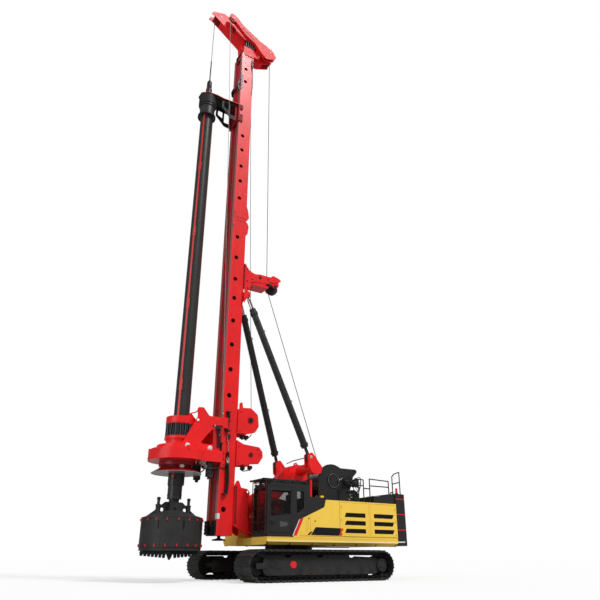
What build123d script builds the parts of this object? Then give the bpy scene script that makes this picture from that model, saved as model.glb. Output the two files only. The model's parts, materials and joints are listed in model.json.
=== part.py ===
"""Rotary piling rig on retractable tracks, in millimetres.

Sizes and places are written from the slewing axis: +X is forward, towards the drilling tool,
+Y is the machine's left, where the cab is, and +Z is up from the ground. save() moves every
piece along X, so that the origin lies on the ground under the middle of the machine's length.
"""
from build123d import *
from math import atan2, cos, degrees, hypot, pi, sin
import os

# Clearances
SEAT = 0.3            # a piece on its seat
RUN = 5.0             # a running gap between moving pieces
PIN_RUN = 0.5         # a pin in its eye
DOOR_GAP = 8.0        # a door in its opening

# Tracks
TRACK_WIDTH = 4800.0          # over both tracks, extended
SHOE_WIDTH = 1000.0
TRACK_LENGTH = 5860.0
TRACK_HEIGHT = 970.0
GROUSER = 32.0
SHOE_PLATE = 34.0
SHOE_COUNT = 54
LINK_DEPTH = 105.0
LINK_WIDTH = 300.0
TRACK_STROKE = 650.0          # each track slides in this far
TRACK_Y = (TRACK_WIDTH - SHOE_WIDTH) / 2
END_RADIUS = TRACK_HEIGHT / 2
AXLE_X = TRACK_LENGTH / 2 - END_RADIUS
LINK_RADIUS = END_RADIUS - GROUSER - SHOE_PLATE - LINK_DEPTH
AXLE_Z = END_RADIUS

# Track frames and the body between them
FRAME_HALF = 270.0            # half the width of a side frame's box
FRAME_LOW = 300.0
FRAME_HIGH = 690.0
COVER_PLATE = 50.0
ROLLER_R = 95.0
ROLLER_COUNT = 9
ROLLER_REACH = 1950.0         # the outermost rollers, before and behind the middle
CARRIER_R = 70.0
CARRIER_X = (-1150.0, 150.0, 1400.0)
TUBE_X = 1150.0               # the cross tubes, before and behind the slewing axis
TUBE_LONG = 600.0
TUBE_LOW = 410.0
TUBE_HIGH = 850.0
TUBE_WALL = 60.0
TUBE_END = TRACK_Y - FRAME_HALF - COVER_PLATE - TRACK_STROKE - 2 * RUN
ARM_END = 700.0               # inner end of a side frame's sliding arm
CENTRE_HALF_X = 1500.0
CENTRE_HALF_Y = 690.0
CENTRE_HIGH = 900.0
RING_R = 850.0
RING_LOW = 985.0
PEDESTAL_R = 660.0

# Upper structure
DECK_LOW = 1120.0
DECK_HIGH = 1360.0
DECK_FLOOR = 40.0             # sheet under the deck's bays
DECK_FRONT = 1850.0
HOUSE_HALF = 1620.0
HOUSE_HIGH = 2620.0
TAIL = 4320.0                 # rear of the counterweight
WEIGHT_THICK = 450.0
WEIGHT_LOW = 1130.0
WEIGHT_HIGH = 3000.0
HOOD_FRONT = -1160.0
HOOD_WALL = 45.0
BAY_INNER = 620.0             # inner side of the cab and of the side compartments
FLAP = 30.0                   # thickness of the side panel that laps over the cab's corner
SLOPE_FOOT = 830.0            # front edge of that panel, at the deck, at its knee and at its top
SLOPE_LOW = (470.0, 1960.0)
SLOPE_HIGH = (-480.0, 2360.0)
SLOPE_TOP = -560.0
COVER_HIGH = 2690.0           # top of the dark cover behind the cab
DOOR_SEAM = -2540.0           # between the front and rear doors of the hood
DOOR_POST = 60.0
DOOR_LOW = 1415.0
DOOR_HIGH = 2575.0
LOUVRE_HIGH = 150.0
LOUVRE_SLANT = 80.0
LOUVRE_BLADES = 3
LOUVRE_ROWS = (1530.0, 1800.0, 2070.0)
LOUVRE_FRONT_DOOR = (170.0, 150.0)    # from the door's rear and front edge to its slots
LOUVRE_REAR_DOOR = (80.0, 175.0)
HINGE_R = 12.0
HINGE_OUT = 17.0              # from a door's face to the middle of its hinges
HINGE_LONG = 80.0

# Cab
CAB_REAR = 130.0
CAB_FRONT = 1850.0
CAB_LOW = 1362.0
CAB_HIGH = 3090.0
CAB_WALL = 45.0
GLASS = 14.0
DOOR_REAR = 870.0
DOOR_FRONT = 1790.0
DOOR_BOTTOM = 1480.0
DOOR_TOP = 2990.0
DOOR_PANE = [(935, 2090, 60), (935, 2840, 60), (1725, 2830, 60), (1725, 2000, 60)]
QUARTER_PANE = [(380, 2300), (380, 2850), (680, 2840), (680, 2110)]
RIGHT_PANE = [(420, 2000), (420, 2900), (1640, 2900), (1720, 2800), (1720, 1760), (700, 1760)]
FRONT_PANE = (1560.0, 2900.0)         # lower and upper edge
REAR_PANE = (2680.0, 2980.0)
PANE_INNER = BAY_INNER + 90
PANE_OUTER = HOUSE_HALF - 90
GUARD_BAR = 22.0
RAIL_R = 21.0

# Main winch
WINCH_X = -1620.0
WINCH_Z = 3450.0
WINCH_HALF = 640.0
WINCH_PLATE = 40.0
DRUM_R = 400.0
DRUM_FLANGE_R = 500.0
DRUM_BORE = 110.0

# Luffing linkage: a parallelogram of two booms and two struts, worked by two cylinders
BOOM_FOOT = (400.0, 1640.0)
BOOM_REACH = (1650.0, 250.0)
STRUT_FOOT = (-750.0, 2380.0)
LUFF_FOOT = (-900.0, 1600.0)
LUFF_EYE = (1150.0, 2140.0)
BOOM_HEAD = (BOOM_FOOT[0] + BOOM_REACH[0], BOOM_FOOT[1] + BOOM_REACH[1])
STRUT_HEAD = (STRUT_FOOT[0] + BOOM_REACH[0], STRUT_FOOT[1] + BOOM_REACH[1])
BEAM_HALF = 150.0             # half the width of the support frame's beam
LANE_INNER = 165.0            # the booms and struts run between these
LANE_OUTER = 285.0
BRACKET_INNER = 292.0         # the deck's bracket plates
BRACKET_OUTER = 334.0
LUFF_Y = 445.0
LUFF_BARREL_R = 95.0
LUFF_ROD_R = 50.0
LUFF_PIN_R = 45.0
LUFF_DRIFT = 18.0             # play of the open pivot at the rod's eye
LINK_PIN_R = 60.0

# Mast
MAST_BACK = 2480.0
MAST_BOX_FRONT = 3050.0
MAST_HALF = 340.0
MAST_WALL = 16.0
MAST_FOOT = 1400.0
MAST_JOINT = 13950.0
MAST_TOP = 23400.0
RAIL_HALF = 420.0
RAIL_BACK = 3030.0
RAIL_FRONT = 3130.0
RAIL_INNER = 250.0
HOLE_R = 88.0
HOLES_LOWER = (2240.0, 6240.0, 7250.0, 8250.0, 9250.0, 10230.0, 11080.0, 12070.0, 13050.0)
HOLES_UPPER = (15000.0, 15900.0, 16700.0, 17600.0, 18400.0, 21700.0, 22500.0)
HOLE_X = 2860.0
MAST_PIN = (2120.0, 2350.0)
MAST_PIN_R = 85.0
CRADLE_OUTER = 420.0
CRADLE_INNER = 360.0

# Mast cylinders
CYL_FOOT = (-150.0, 1150.0, 4130.0)
CYL_EYE = (2270.0, 310.0, 10470.0)
CYL_BARREL_R = 130.0
CYL_ROD_R = 70.0
CYL_PIN_R = 60.0
CYL_EYE_PIN_R = 45.0
CYL_ROD_SHOWN = 450.0         # rod outside the barrel at rest
CYL_DRIFT = 26.0              # play of the open pivot at the rod's eye
CYL_NECK_R = 45.0             # the rod is thinner next to its eye
CYL_NECK = 190.0
CYL_LUG_GAP = 125.0           # from the middle of the eye to the lugs of the mast
CYL_LUG = 30.0
TORQUE_TUBE = (-300.0, 3760.0)
TORQUE_TUBE_R = 190.0
CLEVIS_SPREAD = (1000.0, 1060.0, 1240.0, 1300.0)

# Kelly bar, guide, rotary drive and tool, all on one axis in front of the mast
KELLY_X = 4540.0
KELLY_R = 262.0
KELLY_BORE = 236.0
KELLY_RIB = 26.0
KELLY_LOW = 2960.0
KELLY_HIGH = 19400.0
RIB_START = 46.0              # bearing of the first of three driving ribs
RIB_HIGH = 18880.0
INNER_R = 226.0
INNER_BORE = 200.0
INNER_LOW = 2510.0
INNER_HIGH = 19940.0
INNER_NECK_R = 238.0          # below the outer tube
GEAR_R = 1000.0
GEAR_LOW = 3730.0
GEAR_HIGH = 4110.0
DRIVE_BORE = KELLY_R + KELLY_RIB + RUN
DRIVE_TOP = 5240.0
CAGE_R = 505.0
CONE_LOW = 3330.0
CONE_R = 850.0
BUCKET_R = 1000.0
BUCKET_WALL = 26.0
BUCKET_LOW = 1010.0
BUCKET_HIGH = 1920.0
BUCKET_LUG = 30.0
STAVES = 9
SLOTS = 8
SLOT_LOW = 1550.0
SLOT_LONG = 240.0
SLOT_WIDE = 65.0
HUB_HALF = 200.0              # half the width of the square socket on the bucket
HUB_HIGH = 2400.0
HUB_NECK_R = 170.0
PUSH_ROD_X = 530.0            # the rods that unlatch the bottom, before and behind the Kelly bar
HINGE_PIN_R = 20.0
DISC_LOW = 925.0
BLADE_DEEP = 105.0
TEETH = 7                     # on each of the two blades
TOOTH_TIP = 690.0             # next to the middle; the teeth rise towards the rim
TOOTH_RISE = 85.0
PILOT_TIP = 650.0
ROPE_R = 14.0
SHEAVE_R = 300.0
SHEAVE_PIN_R = 50.0
SHEAVE_GROOVE = 0.8           # radius of the groove's floor as a share of the sheave's
FRONT_SHEAVE = (KELLY_X - SHEAVE_R * SHEAVE_GROOVE - ROPE_R, 25290.0)
REAR_SHEAVE = (1640.0, 24090.0)
AUX_SHEAVE = (3730.0, 25200.0)
AUX_SHEAVE_R = 215.0
AUX_REAR_R = 260.0
BRACKET_SHEAVE = (970.0, 11220.0)
BRACKET_SHEAVE_R = 270.0
BRACKET_CHEEK = (300.0, 335.0)
BRACKET_LOW = 10740.0
HEAD_HALF = 200.0             # half the width of the main sheave arm
HEAD_SKIN = 35.0
AUX_INNER = 360.0             # sides of the auxiliary sheave arm
AUX_OUTER = 560.0
GUIDE_LOW = 19100.0
GUIDE_HIGH = 20060.0

FRONT_REACH = KELLY_X + BUCKET_R + BUCKET_LUG
SHIFT = (TAIL - FRONT_REACH) / 2

PARTS = {}


def block(x0, x1, y0, y1, z0, z1):
    return Pos((x0 + x1) / 2, (y0 + y1) / 2, (z0 + z1) / 2) * Box(x1 - x0, y1 - y0, z1 - z0)


def side_face(points):
    """A face in the XZ plane from its corners; a corner with a third value is rounded by it."""
    corners = [(p[0], p[1]) for p in points]
    radii = [p[2] if len(p) > 2 else 0 for p in points]
    if any(radii):
        outline = FilletPolyline(*corners, radius=radii, close=True)
    else:
        outline = Polyline(*corners, close=True)
    return make_face(outline)


def side_plane(y):
    return Plane(origin=(0, y, 0), x_dir=(1, 0, 0), z_dir=(0, -1, 0))


def plate(points, y0, y1):
    """A plate of the given side outline between two values of Y."""
    return extrude(side_plane(y1) * side_face(points), y1 - y0)


def level(points, z0, z1):
    """A plate of the given plan outline between two heights."""
    return Pos(0, 0, z0) * extrude(make_face(Polyline(*points, close=True)), z1 - z0)


def bar_y(x, z, r, y0, y1):
    return Pos(x, (y0 + y1) / 2, z) * Rot(90, 0, 0) * Cylinder(r, y1 - y0)


def bar_z(x, y, r, z0, z1):
    return Pos(x, y, (z0 + z1) / 2) * Cylinder(r, z1 - z0)


def bar_x(y, z, r, x0, x1):
    return Pos((x0 + x1) / 2, y, z) * Rot(0, 90, 0) * Cylinder(r, x1 - x0)


def bar(start, end, r):
    """A round bar between two points."""
    along = Vector(*end) - Vector(*start)
    plane = Plane(origin=start, z_dir=along)
    return plane * Cylinder(r, along.length, align=(Align.CENTER, Align.CENTER, Align.MIN))


def ring_z(x, r_out, r_in, z0, z1):
    return bar_z(x, 0, r_out, z0, z1) - bar_z(x, 0, r_in, z0 - 1, z1 + 1)


def both_sides(shape):
    """The shape and its mirror image across the machine's middle plane."""
    return [shape, mirror(shape, about=Plane.XZ)]


def fuse(*shapes):
    """One solid from pieces that overlap."""
    whole = shapes[0]
    for shape in shapes[1:]:
        whole = whole + shape
    return whole


def solids_of(thing):
    if isinstance(thing, (list, tuple)):
        found = []
        for item in thing:
            found += solids_of(item)
        return found
    return list(thing.solids())


def save(name, *things):
    """Keep the solids of one node, moved so that the machine's length is centred."""
    PARTS[name] = Pos(SHIFT, 0, 0) * Compound(children=solids_of(things))


def around(count, radius, centre, start=0.0):
    """Places on a level circle: x, y and the angle in degrees."""
    places = []
    for n in range(count):
        turn = start + 360 * n / count
        angle = turn * pi / 180
        places.append((centre + radius * cos(angle), radius * sin(angle), turn))
    return places


# Undercarriage

def on_loop(along, out, radius):
    """A point of the track's loop, a distance along it and out from its pitch radius."""
    straight = 2 * AXLE_X
    bend = pi * radius
    along = along % (2 * straight + 2 * bend)
    if along < straight:
        return (AXLE_X - along, AXLE_Z + radius + out)
    along -= straight
    if along < bend:
        turn = pi / 2 + along / radius
        reach = radius + out
        return (-AXLE_X + reach * cos(turn), AXLE_Z + reach * sin(turn))
    along -= bend
    if along < straight:
        return (-AXLE_X + along, AXLE_Z - radius - out)
    turn = -pi / 2 + (along - straight) / radius
    reach = radius + out
    return (AXLE_X + reach * cos(turn), AXLE_Z + reach * sin(turn))


def loop_face(radius):
    half = AXLE_X
    face = Rectangle(2 * half, 2 * radius) + Pos(half, 0) * Circle(radius) + Pos(-half, 0) * Circle(radius)
    return face


def track(side):
    """One closed track: shoes with grousers on a ring of links."""
    plate_out = END_RADIUS - GROUSER
    pitch = (4 * AXLE_X + 2 * pi * plate_out) / SHOE_COUNT
    # Each shoe: where its outline turns, as a share of the pitch, and how far out it lies
    shoe = ((0.03, -12), (0.05, 0), (0.22, 0), (0.26, GROUSER), (0.34, GROUSER), (0.38, 0),
            (0.78, 0), (0.81, GROUSER * 0.75), (0.87, GROUSER * 0.75), (0.90, 0), (0.97, -12))
    points = []
    for n in range(SHOE_COUNT):
        for share, out in shoe:
            points.append(on_loop((n + share) * pitch, out, plate_out))
    middle = side * TRACK_Y
    outer = extrude(side_plane(middle + SHOE_WIDTH / 2) * make_face(Polyline(*points, close=True)),
                    SHOE_WIDTH)
    hollow_plane = Plane(origin=(0, middle + SHOE_WIDTH, AXLE_Z), x_dir=(1, 0, 0), z_dir=(0, -1, 0))
    outer -= extrude(hollow_plane * loop_face(plate_out - SHOE_PLATE), 2 * SHOE_WIDTH)
    link_plane = Plane(origin=(0, middle + LINK_WIDTH / 2, AXLE_Z), x_dir=(1, 0, 0), z_dir=(0, -1, 0))
    links = extrude(link_plane * (loop_face(plate_out - SHOE_PLATE) - loop_face(LINK_RADIUS)), LINK_WIDTH)
    return outer + links


def toothed_wheel(r_root, r_tip, teeth, y0, y1, bore=0.0):
    """A wheel on the Y axis whose rim has blunt teeth."""
    points = []
    for n in range(teeth):
        for share, r in ((0.0, r_root), (0.30, r_root), (0.42, r_tip), (0.88, r_tip)):
            turn = 2 * pi * (n + share) / teeth
            points.append((r * cos(turn), r * sin(turn)))
    face = make_face(Polyline(*points, close=True))
    if bore:
        face -= Circle(bore)
    return extrude(side_plane(y1) * face, y1 - y0)


def undercarriage():
    arm_gap = 8.0                 # between a sliding arm and its tube
    body = block(-CENTRE_HALF_X, CENTRE_HALF_X, -CENTRE_HALF_Y, CENTRE_HALF_Y, 460, CENTRE_HIGH)
    slope = 450
    for end in (-1, 1):
        wedge = [(end * (CENTRE_HALF_X - slope), CENTRE_HIGH + 1),
                 (end * (CENTRE_HALF_X + 1), CENTRE_HIGH + 1),
                 (end * (CENTRE_HALF_X + 1), CENTRE_HIGH - 190)]
        body -= plate(wedge, -CENTRE_HALF_Y - 1, CENTRE_HALF_Y + 1)
    for x in (-TUBE_X, TUBE_X):
        body += block(x - TUBE_LONG / 2, x + TUBE_LONG / 2, -TUBE_END, TUBE_END, TUBE_LOW, TUBE_HIGH)
    for x in (-TUBE_X, TUBE_X):
        inside = TUBE_LONG / 2 - TUBE_WALL
        body -= block(x - inside, x + inside, -TUBE_END - 1, TUBE_END + 1,
                      TUBE_LOW + TUBE_WALL, TUBE_HIGH - TUBE_WALL)
    body += bar_z(0, 0, PEDESTAL_R, CENTRE_HIGH - 10, RING_LOW)
    save("car_body", body, ring_z(0, RING_R, RING_R - 190, RING_LOW + SEAT, DECK_LOW - SEAT))

    for side, name in ((1, "left"), (-1, "right")):
        save("track_" + name, track(side))
        y = side * TRACK_Y
        end_x = AXLE_X - LINK_RADIUS - 30
        box = plate([(-end_x, 360, 40), (-end_x + 150, FRAME_LOW), (end_x - 150, FRAME_LOW),
                     (end_x, 360, 40),
                     (end_x, 630, 40), (end_x - 150, FRAME_HIGH), (-end_x + 150, FRAME_HIGH),
                     (-end_x, 630, 40)],
                    y - FRAME_HALF, y + FRAME_HALF)
        for x in (-TUBE_X, TUBE_X):
            inside = TUBE_LONG / 2 - TUBE_WALL - arm_gap
            ends = sorted((side * ARM_END, y - side * (FRAME_HALF - 10)))
            box += block(x - inside, x + inside, ends[0], ends[1],
                         TUBE_LOW + TUBE_WALL + SEAT, TUBE_HIGH - TUBE_WALL - arm_gap)
        cover = plate([(-2330, 300, 120), (-2150, 210), (2180, 210), (2300, 300, 80), (2300, 690, 60),
                       (2150, 790), (1560, 790), (1500, 730), (1300, 730), (1240, 800), (300, 800),
                       (240, 730),
                       (60, 730), (0, 800), (-1000, 800), (-1060, 730), (-1240, 730), (-1300, 770),
                       (-2150, 740), (-2330, 640, 120)],
                      0, COVER_PLATE)
        start = y + side * FRAME_HALF
        outer_cover = Pos(0, start if side > 0 else start - COVER_PLATE, 0) * cover
        inner_cover = Pos(0, y - side * FRAME_HALF - (COVER_PLATE if side > 0 else 0), 0) * plate(
            [(-2330, 330, 120), (-2150, 250), (2180, 250), (2300, 330, 80), (2300, 640, 60), (2150, 720),
             (-2150, 720), (-2330, 640, 120)], 0, COVER_PLATE)
        shafts = [bar_y(AXLE_X * end, AXLE_Z, 80, y - FRAME_HALF - COVER_PLATE / 2,
                        y + FRAME_HALF + COVER_PLATE / 2)
                  for end in (-1, 1)]
        frame = fuse(box, outer_cover, inner_cover)
        cheek = [(2200, 400), (2560, 400, 60), (2560, 570, 60), (2200, 570)]
        tail_cheek = [(-2200, 400), (-2560, 400, 60), (-2560, 570, 60), (-2200, 570)]
        for face in (y + FRAME_HALF, y - FRAME_HALF - COVER_PLATE):
            frame += plate(cheek, face, face + COVER_PLATE) + plate(tail_cheek, face, face + COVER_PLATE)
        frame = fuse(frame, *shafts)
        save("side_frame_" + name, frame)

        wheels = []
        spacing = 2 * ROLLER_REACH / (ROLLER_COUNT - 1)
        for n in range(ROLLER_COUNT):
            x = -ROLLER_REACH + spacing * n
            z = AXLE_Z - LINK_RADIUS + ROLLER_R + SEAT
            wheels.append(bar_y(x, z, ROLLER_R, y - LINK_WIDTH / 2, y + LINK_WIDTH / 2)
                          - block(x - 200, x + 200, y - 200, y + 200, FRAME_LOW - SEAT, FRAME_LOW + 300))
        for x in CARRIER_X:
            z = AXLE_Z + LINK_RADIUS - CARRIER_R - SEAT
            wheels.append(bar_y(x, z, CARRIER_R, y - LINK_WIDTH / 2, y + LINK_WIDTH / 2)
                          - block(x - 200, x + 200, y - 200, y + 200, FRAME_HIGH - 300, FRAME_HIGH + SEAT))
        idler = bar_y(AXLE_X, AXLE_Z, LINK_RADIUS - SEAT, y - 60, y + 60) \
            + bar_y(AXLE_X, AXLE_Z, LINK_RADIUS - 40, y - LINK_WIDTH / 2, y + LINK_WIDTH / 2)
        idler -= bar_y(AXLE_X, AXLE_Z, 80 + SEAT, y - 300, y + 300)
        sprocket = toothed_wheel(LINK_RADIUS - 50, LINK_RADIUS - SEAT, 21, y - 70, y + 70, 80 + SEAT)
        sprocket = Pos(-AXLE_X, 0, AXLE_Z) * sprocket
        face = FRAME_HALF + COVER_PLATE
        motor_ends = sorted((y - side * face, y - side * (face + 150)))
        cap_ends = sorted((y + side * face, y + side * (face + 70)))
        motor = bar_y(-AXLE_X, AXLE_Z, 190, motor_ends[0], motor_ends[1])
        cap = bar_y(-AXLE_X, AXLE_Z, 205, cap_ends[0], cap_ends[1])
        save("wheels_" + name, wheels, idler, sprocket, motor, cap)


# Upper structure

def deck():
    base = level([(-TAIL + WEIGHT_THICK + SEAT, -HOUSE_HALF), (DECK_FRONT, -HOUSE_HALF),
                  (DECK_FRONT, -560), (1640, -470), (1640, 470), (DECK_FRONT, 560),
                  (DECK_FRONT, HOUSE_HALF), (-TAIL + WEIGHT_THICK + SEAT, HOUSE_HALF)], DECK_LOW, DECK_HIGH)
    bevel = 110
    for side in (-1, 1):
        edge = side * HOUSE_HALF
        cut = Pos(0, edge, DECK_LOW) * Rot(45, 0, 0) * Box(9000, bevel * 1.42, bevel * 1.42)
        base -= cut
    bay_floor = DECK_LOW + DECK_FLOOR
    base -= block(-3780, HOOD_FRONT - 120, -1480, 1480, bay_floor, DECK_HIGH + 1)
    for y0, y1 in ((680, 1480), (-1480, -680)):
        base -= block(HOOD_FRONT + 30, 1560, y0, y1, bay_floor, DECK_HIGH + 1)
    save("deck", base)

    outline = [(BOOM_FOOT[0] + 210, DECK_HIGH), (BOOM_FOOT[0] + 210, BOOM_FOOT[1] + 60, 80),
               (BOOM_FOOT[0] - 40, BOOM_FOOT[1] + 190, 60), (STRUT_FOOT[0] + 190, STRUT_FOOT[1] + 110, 90),
               (STRUT_FOOT[0] - 60, STRUT_FOOT[1] + 170, 90), (STRUT_FOOT[0] - 260, STRUT_FOOT[1] - 60, 90),
               (-1130, DECK_HIGH)]
    brackets = both_sides(plate(outline, BRACKET_INNER, BRACKET_OUTER))
    cross = block(-1100, -1040, -BRACKET_INNER, BRACKET_INNER, DECK_HIGH, 2050)
    whole = fuse(brackets[0], brackets[1], cross,
                 bar_y(BOOM_FOOT[0], BOOM_FOOT[1], LINK_PIN_R, -BRACKET_OUTER, BRACKET_OUTER),
                 bar_y(STRUT_FOOT[0], STRUT_FOOT[1], LINK_PIN_R, -BRACKET_OUTER, BRACKET_OUTER),
                 bar_y(LUFF_FOOT[0], LUFF_FOOT[1], LUFF_PIN_R, -LUFF_Y - 110, LUFF_Y + 110))
    save("boom_brackets", whole)


def on_slope(x):
    """Height of the sloping edge between the yellow side panel and the dark cover."""
    share = (x - SLOPE_LOW[0]) / (SLOPE_HIGH[0] - SLOPE_LOW[0])
    return SLOPE_LOW[1] + (SLOPE_HIGH[1] - SLOPE_LOW[1]) * share


def side_cover():
    """Dark cover behind the cab, above the sloping edge."""
    gap = 1.0
    wall_x = CAB_REAR - RUN
    return plate([(wall_x, on_slope(wall_x) + gap), (wall_x, COVER_HIGH), (-220, COVER_HIGH, 60),
                  (-500, COVER_HIGH - 40), (SLOPE_TOP + 6, HOUSE_HIGH - 8),
                  (SLOPE_HIGH[0] + gap, SLOPE_HIGH[1] + gap)], BAY_INNER, HOUSE_HALF - 10)


def hinge_barrels(x, side, inward, heights):
    """Round hinge barrels beside the edge of a door, with a leaf from each to the door's face."""
    face = side * HOUSE_HALF
    axis = face + side * HINGE_OUT
    pieces = []
    for z in heights:
        leaf_x = sorted((x + inward * 5, x + inward * 40))
        leaf_y = sorted((face - side, axis))
        pieces.append(bar_z(x, axis, HINGE_R, z, z + HINGE_LONG)
                      + block(leaf_x[0], leaf_x[1], leaf_y[0], leaf_y[1], z, z + HINGE_LONG))
    return pieces


def louvred_door(x0, x1, hinge_at_front, side):
    """A side door of the engine hood with three rows of slanted slots, each with blades behind it."""
    gap_rear, gap_front = (DOOR_GAP, SEAT) if hinge_at_front else (SEAT, DOOR_GAP)
    low = min(side * HOUSE_HALF, side * (HOUSE_HALF - HOOD_WALL))
    panel = block(x0 + gap_rear, x1 - gap_front, low, low + HOOD_WALL, DOOR_LOW + DOOR_GAP,
                  DOOR_HIGH - DOOR_GAP)
    margins = LOUVRE_FRONT_DOOR if hinge_at_front else LOUVRE_REAR_DOOR
    left = x0 + margins[0]
    right = x1 - margins[1]
    for z in LOUVRE_ROWS:
        top = z + LOUVRE_HIGH
        if hinge_at_front:
            slot = [(left, z), (right, z), (right - LOUVRE_SLANT, top), (left, top)]
        else:
            slot = [(left + LOUVRE_SLANT, z), (right, z), (right, top), (left, top)]
        panel -= plate(slot, low - 1, low + HOOD_WALL + 1)
        for n in range(LOUVRE_BLADES):
            middle = z + LOUVRE_HIGH * (n + 0.5) / LOUVRE_BLADES
            panel += block(left - 15, right + 15, low + 10, low + HOOD_WALL - 8, middle - 9, middle + 9)
    hinge_x, inward = (x1, -1) if hinge_at_front else (x0, 1)
    return fuse(panel, *hinge_barrels(hinge_x, side, inward, (1500, 1960, 2400)))


def hood():
    rear = -TAIL + WEIGHT_THICK + SEAT
    shell = block(rear, HOOD_FRONT, -HOUSE_HALF, HOUSE_HALF, DECK_HIGH, HOUSE_HIGH)
    shell -= block(rear + HOOD_WALL, HOOD_FRONT - HOOD_WALL, -HOUSE_HALF + HOOD_WALL,
                   HOUSE_HALF - HOOD_WALL,
                   DECK_HIGH - 1, HOUSE_HIGH - HOOD_WALL)
    openings = ((HOOD_FRONT - DOOR_POST, DOOR_SEAM + DOOR_POST / 2),
                (DOOR_SEAM - DOOR_POST / 2, rear + DOOR_POST))
    for x1, x0 in openings:
        shell -= block(x0, x1, -HOUSE_HALF - 1, HOUSE_HALF + 1, DOOR_LOW, DOOR_HIGH)
    save("engine_hood", shell)

    for side, name in ((1, "left"), (-1, "right")):
        for (x1, x0), place in ((openings[0], "front"), (openings[1], "rear")):
            save("hood_door_%s_%s" % (name, place), louvred_door(x0, x1, place == "front", side))

    # Fixed side compartments ahead of the doors
    rear_x = HOOD_FRONT + SEAT
    wall_x = CAB_REAR - RUN
    skin = 30.0
    flap = [(SLOPE_FOOT, DECK_HIGH), SLOPE_LOW, SLOPE_HIGH, (SLOPE_TOP, HOUSE_HIGH), (rear_x, HOUSE_HIGH),
            (rear_x, DECK_HIGH)]
    chest = [(wall_x, DECK_HIGH), (wall_x, on_slope(wall_x)), SLOPE_HIGH, (SLOPE_TOP, HOUSE_HIGH),
             (rear_x, HOUSE_HIGH), (rear_x, DECK_HIGH)]
    room = [(wall_x - skin, DECK_HIGH - 1), (wall_x - skin, on_slope(wall_x) - 45),
            (SLOPE_TOP + 30, SLOPE_HIGH[1] - 45),
            (SLOPE_TOP - 60, HOUSE_HIGH - skin), (rear_x + skin, HOUSE_HIGH - skin),
            (rear_x + skin, DECK_HIGH - 1)]
    left = plate(chest, BAY_INNER, HOUSE_HALF - FLAP + 1) + plate(flap, HOUSE_HALF - FLAP, HOUSE_HALF)
    left -= plate(room, BAY_INNER + skin, HOUSE_HALF - FLAP - skin)
    save("side_box_left", left)
    nose = DECK_FRONT - 60
    right = plate([(nose, DECK_HIGH), (nose, 1750, 120), (1350, 2250, 200), (1100, HOUSE_HIGH, 120),
                   (rear_x, HOUSE_HIGH), (rear_x, DECK_HIGH)], -HOUSE_HALF, -BAY_INNER)
    right -= plate([(nose - skin, DECK_HIGH - 1), (nose - skin, 1750), (1320, 2230),
                    (1060, HOUSE_HIGH - skin),
                    (rear_x + skin, HOUSE_HIGH - skin), (rear_x + skin, DECK_HIGH - 1)],
                   -HOUSE_HALF + skin, -BAY_INNER - skin)
    save("side_box_right", right)

    floor_z = DECK_LOW + DECK_FLOOR
    save("engine_block", fuse(block(-3300, -1750, -430, 430, floor_z, 2050),
                              block(-3000, -1900, -300, 300, 2040, 2350)))

    front = -TAIL + WEIGHT_THICK
    save("counterweight",
         plate([(front, WEIGHT_LOW), (front, WEIGHT_HIGH), (-TAIL + 25, WEIGHT_HIGH),
                (-TAIL, WEIGHT_HIGH - 25),
                                 (-TAIL, WEIGHT_LOW + 25),
                                 (-TAIL + 25, WEIGHT_LOW)], -HOUSE_HALF, HOUSE_HALF))


def cab_walls():
    """The cab as plates set edge to edge: floor, roof, rear, front and the two sides with their openings."""
    w = CAB_WALL
    profile = [(CAB_REAR, CAB_LOW), (CAB_REAR, CAB_HIGH, 60), (1700, CAB_HIGH, 80), (CAB_FRONT, 2960, 60),
               (CAB_FRONT, CAB_LOW)]
    room = [(CAB_REAR + w, CAB_LOW + w), (CAB_REAR + w, CAB_HIGH - w), (1680, CAB_HIGH - w),
            (CAB_FRONT - w, 2930),
            (CAB_FRONT - w, CAB_LOW + w)]
    shell = plate(profile, BAY_INNER, HOUSE_HALF) - plate(room, BAY_INNER + w, HOUSE_HALF - w)
    # The yellow side panel laps over the lower rear corner
    lap = [(CAB_REAR - 1, CAB_LOW - 1), (SLOPE_FOOT + RUN, CAB_LOW - 1),
           (SLOPE_LOW[0] + RUN, SLOPE_LOW[1] + RUN),
           (CAB_REAR - 1, on_slope(CAB_REAR) + RUN)]
    shell -= plate(lap, HOUSE_HALF - FLAP - SEAT, HOUSE_HALF + 1)
    shell -= block(DOOR_REAR, DOOR_FRONT, HOUSE_HALF - 200, HOUSE_HALF + 1, DOOR_BOTTOM, DOOR_TOP)
    shell -= plate(QUARTER_PANE, HOUSE_HALF - w - 1, HOUSE_HALF + 1)
    shell -= plate(RIGHT_PANE, BAY_INNER - 1, BAY_INNER + w + 1)
    shell -= block(CAB_FRONT - w - 1, CAB_FRONT + 1, PANE_INNER, PANE_OUTER, FRONT_PANE[0], FRONT_PANE[1])
    shell -= block(CAB_REAR - 1, CAB_REAR + w + 1, PANE_INNER, PANE_OUTER, REAR_PANE[0], REAR_PANE[1])
    # Where the plates meet
    wide = (BAY_INNER - 1, HOUSE_HALF + 1)
    low = CAB_LOW + w
    high = CAB_HIGH - w
    shell -= block(CAB_REAR - 1, CAB_FRONT + 1, wide[0], wide[1], low - SEAT, low)
    shell -= block(CAB_REAR - 1, 1682, wide[0], wide[1], high, high + SEAT)
    for y in (BAY_INNER + w - SEAT, HOUSE_HALF - w):
        shell -= block(CAB_REAR - 1, CAB_FRONT + 1, y, y + SEAT, low - 1, high + 1)
        shell -= block(1682, CAB_FRONT + 1, y, y + SEAT, high, CAB_HIGH + 1)
    shell -= block(1682, 1682 + SEAT, wide[0], wide[1], high - 1, CAB_HIGH + 1)
    return shell


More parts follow.
